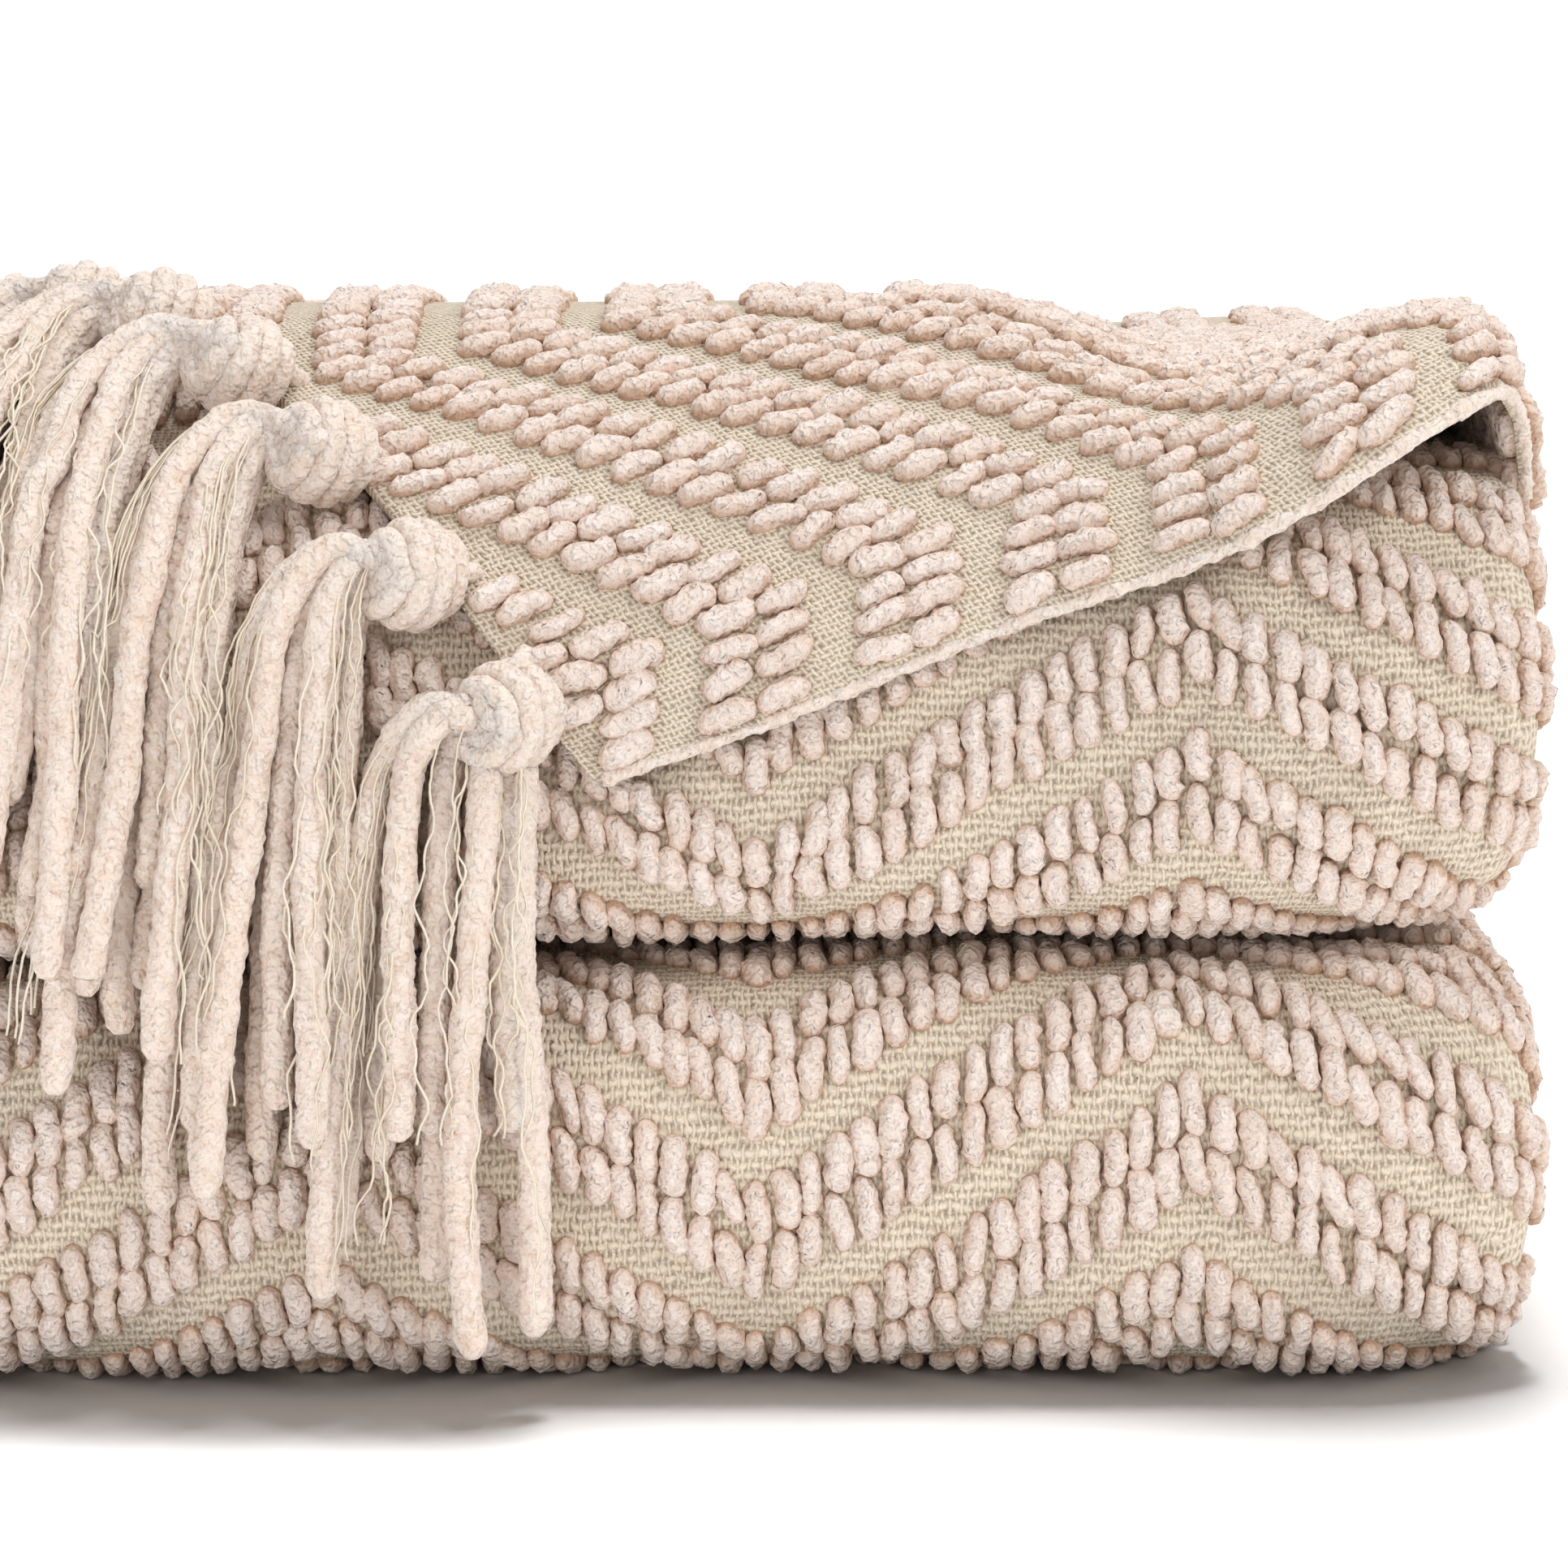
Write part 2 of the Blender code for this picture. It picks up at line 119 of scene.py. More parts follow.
# The tassels along the fringed edge
TASSEL_FIRST = 16.0
TASSEL_PITCH = 27.5
KNOT_ALONG = 7.6
KNOT_DEEP = 8.0
KNOT_CLEAR = 0.4
KNOT_RINGS = 6
STRAND_REACH = 92.0
ROOT_RISE = 1.0
TASSELS = table(
    "aside lean spread",
    (6.0, 2.0, 2.0),
    (15.5, 5.0, 1.3),
    (19.5, 6.0, 1.1),
    (21.5, 7.0, 1.0),
    (21.5, 7.0, 0.97),
    (21.5, 6.5, 0.96),
    (21.0, 6.5, 0.95),
    (20.5, 6.0, 0.94),
)
STRANDS = table(
    "across layer length",
    (-5.35, 0, 106.0),
    (0.0, 0, 113.0),
    (5.35, 0, 100.0),
    (-5.35, 1, 110.0),
    (0.1, 1, 97.0),
    (5.35, 1, 114.0),
    (-2.8, 2, 102.0),
    (2.9, 2, 108.0),
)
STRAND_FIRST_LIFT = 3.3
STRAND_LAYER = 4.9

# How the stack has settled
PLACE_X = 2.7
PLACE_Y = 6.1
FRONT_ZONE = 120.0
UPPER_SPAN = (70.0, 165.0)
DROOP = 8.0
DROOP_EASE = 0.86
SHOULDER_SPAN = (-20.0, 130.0)
HEAVE = 17.2
HEAVE_Y = -94.5
HEAVE_FRONT = 36.0
HEAVE_BEHIND = 88.0
HEAVE_SPAN = (20.0, 165.0)
HEAVE_LEFT_SPAN = (70.0, 172.0)
LEAN = 14.5
LEAN_SPAN = (79.0, 120.0)
SAG_SPAN = (60.0, 125.0)
BACK_DROP = 6.8
BACK_DROP_FROM = -60.0
GAP_RISE = 5.0
GAP_RISE_FROM = -80.0
CORNER_BACK = 13.0
CORNER_BACK_LEFT = 6.0
CORNER_START = 122.0
CORNER_WIDE = 38.0
END_START = 95.0
END_FULL = 160.0
END_BULGES = table("level height out", (74.0, 9.0, -7.0), (36.0, 20.0, 3.0), (118.0, 24.0, 2.0))
LEFT_END_SHARE = 0.8
FRONT_WAVE = 1.3
FRONT_WAVE_X = 38.0
FRONT_WAVE_Z = 31.0
FRONT_WAVE_PHASE = 0.6
TOP_WAVE = 0.9
TOP_WAVE_X = 47.0
TOP_WAVE_Y = 53.0
TOP_WAVE_SLANT = 90.0
WAVE_GROUND = 60.0
FLOOR_SKIN = 0.0002

# The woven ground
GROUND_HALF = 1.2
HEM_HALF = 2.9
HEM_NOSE = 3.0
HEM_LEAST = 0.02
HEM_FADE = (11.0, 14.0)
FLAT_STEPS = 16
RIM_STEPS = 10
TURN_STEPS = 24
RUN_STEPS = 10
HEM_PLACES = (0.0, 0.3, 1.0, 2.0, 3.2, 7.0, 11.0, 12.5, 14.5)
FLAP_ACROSS_STEPS = 84
FLAP_UP_STEPS = 84
FLAP_ACROSS_POWER = 1.35
FLAP_UP_POWER = 1.25
# From this far in, a cut edge no longer thins the hem of the cloth's ends
EDGE_FAR = 99.0
CLOSEST = 0.25
SELVEDGE_OVER = 3.2
SELVEDGE_LEVEL = 0.5
OVER_SPAN = (30.0, 95.0)
FLAP_LOWEST = -2.2
PATH_SAMPLES = 160

# The raised floats: a column each few millimetres, in zigzag bands of two floats and a strip of ground
HALF_ZIGZAG = 16
COLUMN = 75.0 / HALF_ZIGZAG
REPEAT = 27.2
ZIGZAG_STEP = 2.8
FLAP_STEP = 3.2
PEAK_X = 102.4
FLOAT_PLACES = (8.85, 18.35)
FLOAT_LENGTH = 10.3
FLOAT_WIDE = 4.6
FLOAT_HEIGHT = 2.5
FLOAT_LIFT = 1.6
FALLING_LEAN = -0.2
RISING_LEAN = -0.05
LOWER_PHASE = -4.5
UPPER_PHASE = 1.5
FLAP_BORDER = -1.2
FLAP_FIRST_TURN = 13.0
FLAP_FLOAT_LEAN = 0.06
FLAP_PLUMP = 1.06
GAP_DEPTH = 30.0
BOTTOM_DEPTH = 36.0
FINE_FROM = -104.0
COVER_MARGIN = 9.0
COVER_REACH = 80.0
COVER_ARCH = 4.0
# Keys along the path, a leg's number and the share of it, between which floats are near the front or seen
NEAR_KEYS = ((0.93, 2.03), (4.97, 6.1))
SEEN_KEYS = ((0.9, 2.1), (4.9, 6.2))
NEAR_RIM = -8.0
LAST_COLUMN = 40
FRONT_REPEATS = range(-20, 21)
BACK_REPEATS = range(-40, 41)
LEFT_REPEATS = range(60)
FLAP_REPEATS = range(-12, 30)
RIM_FLOATS = 2.9
END_MARGIN = 4.0
LEFT_MARGIN = 4.0
BACK_LEFT_MARGIN = 10.0
RIM_MARGIN = 8.0
RIM_COLUMNS = 2
FLAP_COLUMNS = 90
FRINGE_MARGIN = 3.8
FLAP_TOP_MARGIN = 5.0
FLAP_SIDE_MARGIN = 3.0
FLAP_FINE = 150.0
UNDER_FROM = 12.0
UNDER_UP = 130.0


def blend(low, high, value):
    """0 below low, 1 above high and a smooth rise between."""
    t = min(1.0, max(0.0, (value - low) / (high - low)))
    return t * t * (3 - 2 * t)


def bump(centre, width, value):
    return math.exp(-(((value - centre) / width) ** 2))


def rounded(angle, squareness):
    """The unit point at this angle on a curve between a circle and a square."""
    c = abs(math.cos(angle))
    s = abs(math.sin(angle))
    reach = (c**squareness + s**squareness) ** (-1 / squareness)
    return reach * math.cos(angle), reach * math.sin(angle)


def run_levels():
    """Height of the middle of each run, from the lowest."""
    lower = PACK_HALF + TURN_GAP
    upper = PACK_HALF * UPPER_PUFF + TURN_GAP
    first = PACK_HALF
    second = first + 2 * lower
    third = second + lower + upper
    fourth = third + 2 * upper
    return first, second, third, fourth


RUN_LEVELS = run_levels()
LOWER_OUT = 2 * PACK_HALF + TURN_GAP
UPPER_OUT = 2 * PACK_HALF * UPPER_PUFF + TURN_GAP
LOWER_TURN_Y = FRONT_LOWER + TURN_REACH * LOWER_OUT
UPPER_TURN_Y = FRONT_UPPER + TURN_REACH * UPPER_OUT
LOWER_TURN_Z = (RUN_LEVELS[0] + RUN_LEVELS[1]) / 2
UPPER_TURN_Z = (RUN_LEVELS[2] + RUN_LEVELS[3]) / 2
BACK_TURN_Y = BACK - TURN_REACH * UPPER_OUT
RUNS = table(
    "from to level way",
    (BACK, LOWER_TURN_Y, RUN_LEVELS[0], -1),
    (LOWER_TURN_Y, BACK_TURN_Y, RUN_LEVELS[1], 1),
    (BACK_TURN_Y, UPPER_TURN_Y, RUN_LEVELS[2], -UPPER_PUFF),
    (UPPER_TURN_Y, BACK, RUN_LEVELS[3], UPPER_PUFF),
)


def squareness(x, share, upper_half):
    """Outer layers turn more squarely than inner ones; the shoulder at the top left is the roundest."""
    if not upper_half:
        return CIRCLE + LOWER_SQUARE * share * share
    return CIRCLE + (SHOULDER_SQUARE + UPPER_SQUARE * blend(*SHOULDER_SPAN, x)) * share * share


def path_point(station, x, offset):
    """Side-view place of a point of the pack: station is a leg's number and how far along it, 0 to 1."""
    leg, t = station
    if leg % 2 == 0:
        run = RUNS[leg // 2]
        return run["from"] + (run["to"] - run["from"]) * t, run["level"] + offset * run["way"]
    angle = math.pi * (t - 0.5)
    if leg == 1:
        radius = PACK_HALF + TURN_GAP + offset
        across, up = rounded(angle, squareness(x, radius / LOWER_OUT, False))
        return LOWER_TURN_Y - TURN_REACH * radius * across, LOWER_TURN_Z + radius * up
    if leg == 3:
        puff = 1 + (UPPER_PUFF - 1) * t
        radius = PACK_HALF * puff + TURN_GAP - offset * puff
        across, up = rounded(angle, CIRCLE + BACK_SQUARE * (radius / UPPER_OUT) ** 2)
        centre = RUN_LEVELS[1] + PACK_HALF + TURN_GAP
        return BACK_TURN_Y + TURN_REACH * radius * across, centre + radius * up
    radius = PACK_HALF * UPPER_PUFF + TURN_GAP + offset * UPPER_PUFF
    across, up = rounded(angle, squareness(x, radius / UPPER_OUT, t > 0.5))
    return UPPER_TURN_Y - TURN_REACH * radius * across, UPPER_TURN_Z + radius * up


def settle(point):
    """The ideal stack settled under its own weight: softened ends, a shoulder that leans back and swells up
    behind the front, a lower back and a risen gap."""
    x, y, z = point
    front = 1 - blend(FRONT_UPPER, FRONT_UPPER + FRONT_ZONE, y)
    high = blend(*UPPER_SPAN, z)
    height_share = min(1.0, max(0.0, z / END_FULL))
    ground = min(1.0, max(0.0, z / WAVE_GROUND))
    droop = DROOP * front * high * (1 - DROOP_EASE * blend(*SHOULDER_SPAN, x))
    middle = 1 - blend(*SAG_SPAN, x)
    lean = LEAN * front * blend(*LEAN_SPAN, z) * middle
    swell = bump(HEAVE_Y, HEAVE_FRONT if y < HEAVE_Y else HEAVE_BEHIND, y)
    swell *= middle * (1 - blend(*HEAVE_LEFT_SPAN, -x))
    heave = HEAVE * swell * blend(*HEAVE_SPAN, z)
    back_drop = BACK_DROP * high * blend(BACK_DROP_FROM, BACK, y)
    rise = GAP_RISE * blend(GAP_RISE_FROM, END_FULL, x) * math.sin(math.pi * height_share)
    right = max(0.0, (x - CORNER_START) / CORNER_WIDE)
    left = max(0.0, (-CORNER_START - x) / CORNER_WIDE)
    corners = front * (CORNER_BACK * right * right + CORNER_BACK_LEFT * left * left)
    ends = sum(row["out"] * bump(row["level"], row["height"], z) for row in END_BULGES)
    outward = blend(END_START, END_FULL, x) - LEFT_END_SHARE * blend(-END_START, -END_FULL, x)
    wave_y = FRONT_WAVE * math.sin(x / FRONT_WAVE_X + FRONT_WAVE_PHASE) * math.cos(z / FRONT_WAVE_Z)
    wave_z = TOP_WAVE * math.sin(x / TOP_WAVE_X + y / TOP_WAVE_SLANT) * math.cos(y / TOP_WAVE_Y) * ground
    moved_x = x + ends * outward + PLACE_X
    moved_y = y + corners + lean + wave_y + PLACE_Y
    moved_z = z + heave + rise - droop - back_drop + wave_z
    return Vector((moved_x, moved_y, moved_z)) * MM


def shoulder_point(x, reach, lift):
    """Place on the front and top of the upper bundle: reach is the way up, lift the height over it."""
    radius = UPPER_OUT + lift
    if reach <= 0:
        return Vector((x, UPPER_TURN_Y - TURN_REACH * radius, UPPER_TURN_Z + reach))
    if reach < SHOULDER:
        across, up = rounded(math.pi / 2 * reach / SHOULDER, squareness(x, 1.0, True))
        return Vector((x, UPPER_TURN_Y - TURN_REACH * radius * across, UPPER_TURN_Z + radius * up))
    return Vector((x, UPPER_TURN_Y + reach - SHOULDER, UPPER_TURN_Z + radius))


SHOULDER = math.pi / 2 * UPPER_OUT * (1 + TURN_REACH) / 2
FLAP_REACH_BACK = SHOULDER + BACK - FLAP_BACK_MARGIN - UPPER_TURN_Y
FLAP_TOP = FLAP_REACH_BACK + FLAP_CORNER_BELOW
FLAP_LIFT = FLAP_CLEAR + CLOTH_THICK / 2


def arch_height(reach):
    return ARCH_LOW + (ARCH_HIGH - ARCH_LOW) * (1 - blend(*ARCH_FADE, reach))


def arch_quarter(reach):
    """Length of the arch's quarter turn, and its height."""
    across = ARCH_END_X - ARCH_TOP
    drop = FLAP_LIFT + arch_height(reach) - ARCH_END_LIFT
    return math.pi / 2 * math.sqrt((across**2 + drop**2) / 2), drop


def arch_at(along, reach):
    """The flap's way across the width: flat, then up into the arch and down over the right end."""
    if along < ARCH_TOP:
        return along, FLAP_LIFT + arch_height(reach) * blend(ARCH_START, ARCH_TOP, along)
    quarter, drop = arch_quarter(reach)
    angle = math.pi / 2 * min(1.0, (along - ARCH_TOP) / quarter)
    extra = max(0.0, along - ARCH_TOP - quarter)
    across = ARCH_END_X - ARCH_TOP
    return ARCH_TOP + across * math.sin(angle), ARCH_END_LIFT + drop * math.cos(angle) - extra


def arch_length(reach):
    return ARCH_TOP + arch_quarter(reach)[0] + ARCH_TAIL


def flap_middle(along, above):
    """Middle of the flap's cloth: along is the way to the right, above the way up from the hanging corner."""
    reach = above - FLAP_CORNER_BELOW
    x, lift = arch_at(along, reach)
    return shoulder_point(x, reach, lift)


def flap_edges(above):
    """Left and right ends of the flap at this way up from its corner."""
    turn = (FLAP_CORNER_X - FLAP_LEFT) / math.tan(FRINGE_LEAN)
    if above < turn:
        left = FLAP_CORNER_X - above * math.tan(FRINGE_LEAN)
    else:
        left = FLAP_LEFT - FLAP_LEFT_SKEW * (above - turn) / (FLAP_TOP - turn)
    right = min(FLAP_CORNER_X + above / math.tan(SELVEDGE_LEAN), arch_length(above - FLAP_CORNER_BELOW))
    return left, right


def shown_edges(above):
    """Ends of the flap's cloth with its soft selvedge, which hangs a little lower on the left."""
    left, right = flap_edges(above)
    over = SELVEDGE_LEVEL + (SELVEDGE_OVER - SELVEDGE_LEVEL) * (1 - blend(*OVER_SPAN, above))
    out = FLAP_CORNER_X + (above + over / math.cos(SELVEDGE_LEAN)) / math.tan(SELVEDGE_LEAN)
    return left, min(out, arch_length(above - FLAP_CORNER_BELOW))


def flap_place(along, above, lift):
    """World place over the flap's middle by lift, on the side that faces up."""
    across = flap_middle(along + NORMAL_STEP, above) - flap_middle(along - NORMAL_STEP, above)
    up = flap_middle(along, above + NORMAL_STEP) - flap_middle(along, above - NORMAL_STEP)
    return settle(flap_middle(along, above) + across.cross(up).normalized() * lift)


def edge_frame(number):
    """Where a tassel's place is on the flap's chart: along and above, at the middle of its knot."""
    down = TASSEL_FIRST + TASSEL_PITCH * number
    edge_x = FLAP_CORNER_X - down * math.sin(FRINGE_LEAN)
    edge_above = down * math.cos(FRINGE_LEAN)
    off = KNOT_ALONG * math.cos(math.pi / KNOT_RINGS) + KNOT_CLEAR
    return edge_x - off * math.cos(FRINGE_LEAN), edge_above - off * math.sin(FRINGE_LEAN)


def tassel_place(along, above, lift):
    return settle(shoulder_point(along, above - FLAP_CORNER_BELOW, lift))


# --- meshes


def mesh_piece(name, points, faces, finish, colours=None, uvs=None):
    """A smooth mesh object from an array of points and a list of face arrays of one size each."""
    mesh = bpy.data.meshes.new(name)
    mesh.vertices.add(len(points))
    mesh.vertices.foreach_set("co", np.asarray(points, dtype=np.float32).ravel())
    corners = np.concatenate([np.asarray(f, dtype=np.int32).ravel() for f in faces])
    counts = np.concatenate([np.full(len(f), np.asarray(f).shape[1], dtype=np.int32) for f in faces])
    mesh.loops.add(len(corners))
    mesh.loops.foreach_set("vertex_index", corners)
    mesh.polygons.add(len(counts))
    starts = np.concatenate(([0], np.cumsum(counts)[:-1])).astype(np.int32)
    mesh.polygons.foreach_set("loop_start", starts)
    mesh.polygons.foreach_set("loop_total", counts)
    mesh.polygons.foreach_set("use_smooth", np.ones(len(counts), dtype=bool))
    mesh.update(calc_edges=True)
    if colours is not None:
        layer = mesh.color_attributes.new("yarn", "FLOAT_COLOR", "POINT")
        layer.data.foreach_set("color", np.asarray(colours, dtype=np.float32).ravel())
    if uvs is not None:
        layer = mesh.uv_layers.new(name="weave")
        layer.data.foreach_set("uv", np.asarray(uvs, dtype=np.float32)[corners].ravel())
    mesh.validate()
    mesh.materials.append(finish)
    made = bpy.data.objects.new(name, mesh)
    bpy.context.scene.collection.objects.link(made)
    return made


def grid_faces(rows, columns, first=0, turn=False):
    """Quads over a grid of points, row after row."""
    i, j = np.meshgrid(np.arange(rows - 1), np.arange(columns - 1), indexing="ij")
    a = (first + i * columns + j).ravel()
    quads = np.stack((a, a + columns, a + columns + 1, a + 1), axis=1)
    return quads[:, ::-1] if turn else quads


def sheet_solid(grid):
    """Points, quads and UVs of a closed sheet from rows of its upper points, lower points and UVs."""
    grid = np.array(grid)
    rows, columns = grid.shape[:2]
    count = rows * columns
    points = np.concatenate((grid[..., :3].reshape(-1, 3), grid[..., 3:6].reshape(-1, 3)))
    ring = [(0, j) for j in range(columns)]
    ring += [(i, columns - 1) for i in range(1, rows)]
    ring += [(rows - 1, j) for j in range(columns - 2, -1, -1)]
    ring += [(i, 0) for i in range(rows - 2, 0, -1)]
    rim = np.array([i * columns + j for i, j in ring])
    after = np.roll(rim, -1)
    sides = np.stack((rim, after, after + count, rim + count), axis=1)
    quads = np.concatenate((grid_faces(rows, columns), grid_faces(rows, columns, count, True), sides))
    return on_floor(points), quads, np.tile(grid[..., 6:].reshape(-1, 2), (2, 1))


def hem_half(distance):
    """Half the cloth's thickness this far from a cut edge: a round nose, a turned hem, then one layer."""
    if distance < HEM_NOSE:
        return HEM_HALF * math.sqrt(max(HEM_LEAST, 1 - (1 - distance / HEM_NOSE) ** 2))
    return GROUND_HALF + (HEM_HALF - GROUND_HALF) * (1 - blend(*HEM_FADE, distance))


def spaced(low, high, steps, hem_low=False, hem_high=False):
    """Places from low to high, closer together at an end that has a hem."""
    places = set(np.linspace(low, high, steps + 1))
    if hem_low:
        places |= {low + d for d in HEM_PLACES}
    if hem_high:
        places |= {high - d for d in HEM_PLACES}
    places = sorted(places)
    kept = [places[0]]
    for place in places[1:]:
        if place - kept[-1] > CLOSEST:
            kept.append(place)
    kept[-1] = high
    return kept


def pack_section():
    """The pleated section: x, offset, normal and hem distance of each point, with the way along it."""
    found = []
    way_along = 0.0
    for number, layer in enumerate(LAYERS):
        way = 1 if number % 2 == 0 else -1
        start, end = (layer["left"], layer["right"]) if way > 0 else (layer["right"], layer["left"])
        first = start if number == 0 else start + way * RIM_INSET
        last = end if number == len(LAYERS) - 1 else end - way * RIM_INSET
        is_first = number == 0
        is_last = number == len(LAYERS) - 1
        length = abs(last - first)
        for place in spaced(0.0, length, FLAT_STEPS, is_first, is_last):
            edge = place if is_first else length - place if is_last else EDGE_FAR
            found.append((first + way * place, layer["offset"], 0.0, 1.0 * way, edge, way_along + place))
        way_along += length
        if is_last:
            break
        for i in range(1, RIM_STEPS):
            angle = math.pi * i / RIM_STEPS
            nx, na = way * math.sin(angle), math.cos(angle)
            x = last + RIM_RADIUS * nx
            offset = layer["offset"] - RIM_RADIUS + RIM_RADIUS * na
            found.append((x, offset, nx * way, na * way, EDGE_FAR, way_along + RIM_RADIUS * angle))
        way_along += RIM_RADIUS * math.pi
    return found


def path_table(offset):
    """Keys along the path and its length up to each, for the cloth at this offset."""
    keys = []
    lengths = []
    total = 0.0
    before = path_point((0, 0.0), 0.0, offset)
    for leg in range(LEGS):
        for i in range(PATH_SAMPLES + (leg == LEGS - 1)):
            here = path_point((leg, i / PATH_SAMPLES), 0.0, offset)
            total += math.dist(here, before)
            keys.append(leg + i / PATH_SAMPLES)
            lengths.append(total)
            before = here
    return np.array(keys), np.array(lengths)


def station_at(key):
    """The leg's number and the share of it, of a key such as 2.5."""
    leg = min(LEGS - 1, int(key))
    return leg, key - leg


def pack_stations():
    """Stations along the pack, with the distance of each to the nearer cut end and the way along."""
    keys, lengths = path_table(0.0)
    found = []
    for leg in range(LEGS):
        low, high = np.interp((leg, leg + 1), keys, lengths)
        steps = TURN_STEPS if leg % 2 else RUN_STEPS
        places = spaced(low, high, steps, leg == 0, leg == LEGS - 1)
        found += places if leg == LEGS - 1 else places[:-1]
    total = lengths[-1]
    return [(station_at(np.interp(s, lengths, keys)), min(s, total - s), s) for s in found]


def on_floor(points):
    points[..., 2] = np.maximum(points[..., 2], FLOOR_SKIN)
    return points


def pack_sheet():
    section = pack_section()
    grid = []
    for station, end, s in pack_stations():
        row = []
        for x, offset, nx, na, edge, u in section:
            sides = []
            for side in (1, -1):
                half = side * min(hem_half(edge) if edge < EDGE_FAR else HEM_HALF, hem_half(end))
                x_moved, offset_moved = x + nx * half, offset + na * half
                sides.extend(settle((x_moved, *path_point(station, x_moved, offset_moved))))
            row.append((*sides, u * MM, s * MM))
        grid.append(row)
    return sheet_solid(grid)


def flap_weave(along, above):
    """The way along the selvedge from the fringe to a place on the flap, and the way in from the selvedge."""
    dx = along - FLAP_CORNER_X
    inward = -dx * math.sin(SELVEDGE_LEAN) + above * math.cos(SELVEDGE_LEAN)
    plain = dx * math.cos(SELVEDGE_LEAN) + above * math.sin(SELVEDGE_LEAN)
    return plain + inward * math.tan(FRINGE_LEAN - SELVEDGE_LEAN), inward


def flap_chart(warp, inward):
    """The place on the flap of a warp and inward way: the reverse of flap_weave."""
    plain = warp - inward * math.tan(FRINGE_LEAN - SELVEDGE_LEAN)
    dx = plain * math.cos(SELVEDGE_LEAN) - inward * math.sin(SELVEDGE_LEAN)
    above = plain * math.sin(SELVEDGE_LEAN) + inward * math.cos(SELVEDGE_LEAN)
    return FLAP_CORNER_X + dx, above


def flap_sheet():
    grid = []
    for i in range(FLAP_UP_STEPS + 1):
        above = FLAP_LOWEST + (FLAP_TOP - FLAP_LOWEST) * (i / FLAP_UP_STEPS) ** FLAP_UP_POWER
        left, right = shown_edges(above)
        row = []
        for j in range(FLAP_ACROSS_STEPS + 1):
            along = left + (right - left) * (1 - (1 - j / FLAP_ACROSS_STEPS) ** FLAP_ACROSS_POWER)
            warp, inward = flap_weave(along, above)
            sides = (flap_place(along, above, half) for half in (GROUND_HALF, -GROUND_HALF))
            row.append((*(c for side in sides for c in side), inward * MM, warp * MM))
        grid.append(row)
    return sheet_solid(grid)


# --- floats


def zigzag(column):
    """How many columns this one is from the nearest peak of the zigzag."""
    place = column % (2 * HALF_ZIGZAG)
    return min(place, 2 * HALF_ZIGZAG - place)


def column_place(x, side, lift, rim_start):
    """Section place of a float on the outer layer or round the rim at its right end."""
    outer = side * OUTER
    if x <= rim_start:
        return x, outer + side * lift
    angle = (x - rim_start) / RIM_INSET
    radius = RIM_RADIUS + lift
    return rim_start + radius * math.sin(angle), side * (LAYER_PITCH + radius * math.cos(angle))


class PathFace:
    """Cloth at one offset in the pack, where places go by the way along the path."""

    def __init__(self, offset):
        self.keys, self.lengths = path_table(offset)

    def way_to(self, key):
        return float(np.interp(key, self.keys, self.lengths))

    def key_at(self, s):
        return float(np.interp(s, self.lengths, self.keys))

    def settled(self, x, offset, s):
        return settle((x, *path_point(station_at(self.key_at(s)), x, offset)))


class PackFace(PathFace):
    """An outer face of the pack: floats are placed on it by the way across and the way along the path."""

    def __init__(self, side, right):
        super().__init__(side * OUTER)
        self.side = side
        self.rim_start = right - RIM_INSET

    def place(self, x, s, lift):
        return self.settled(*column_place(x, self.side, lift, self.rim_start), s)

    def columns(self, margin):
        """The columns of floats from the left end on: number, way across and way round the right rim."""
        for column in range(math.ceil((LEFT_END + margin - PEAK_X) / COLUMN), LAST_COLUMN):
            x = PEAK_X + column * COLUMN
            around = x - self.rim_start
            if around > RIM_FLOATS * RIM_INSET:
                return
            yield column, x, around


class LeftRim(PathFace):
    """The fold of the two inner layers at the left end, which shows the other face of the cloth."""

    def __init__(self):
        super().__init__(0.0)

    def place(self, around, s, lift):
        angle = around / RIM_INSET
        radius = RIM_RADIUS + lift
        centre = LAYERS[1]["left"] + RIM_INSET
        return self.settled(centre - radius * math.cos(angle), radius * math.sin(angle), s)


class FlapFace:
    """A face of the flap: floats run along its selvedge, side 1 on the face that shows and -1 underneath."""

    def __init__(self, side):
        self.side = side

    def place(self, inward, warp, lift):
        along, above = flap_chart(warp, inward)
        return flap_place(along, above, self.side * lift)


def covered(x, reach):
    """True if this place on the upper bundle lies well under the flap."""
    above = reach + FLAP_CORNER_BELOW
    if above < COVER_MARGIN or above > FLAP_TOP - COVER_MARGIN:
        return False
    left, right = flap_edges(above)
    if reach < COVER_REACH and x > ARCH_START - COVER_ARCH:
        return False
    return left + COVER_MARGIN < x < right - COVER_MARGIN


def arm_lean(column):
    """Floats lean with the arm of the zigzag that falls to the right, and hardly on the other."""
    return FALLING_LEAN if column % (2 * HALF_ZIGZAG) < HALF_ZIGZAG else RISING_LEAN


def front_quality(x, key, around):
    """2 where a float faces the front and the right, 1 further left and 0 deep in the gap or underneath."""
    near = any(low <= key <= high for low, high in NEAR_KEYS)
    seen = any(low < key < high for low, high in SEEN_KEYS)
    if not seen or not near and around < NEAR_RIM:
        return 0
    return 2 if x > FINE_FROM else 1


def band_ways(start, repeats):
    """The ways along the cloth of one column's floats, two in each repeat of the bands."""
    for n in repeats:
        for place in FLOAT_PLACES:
            yield start + n * REPEAT + place


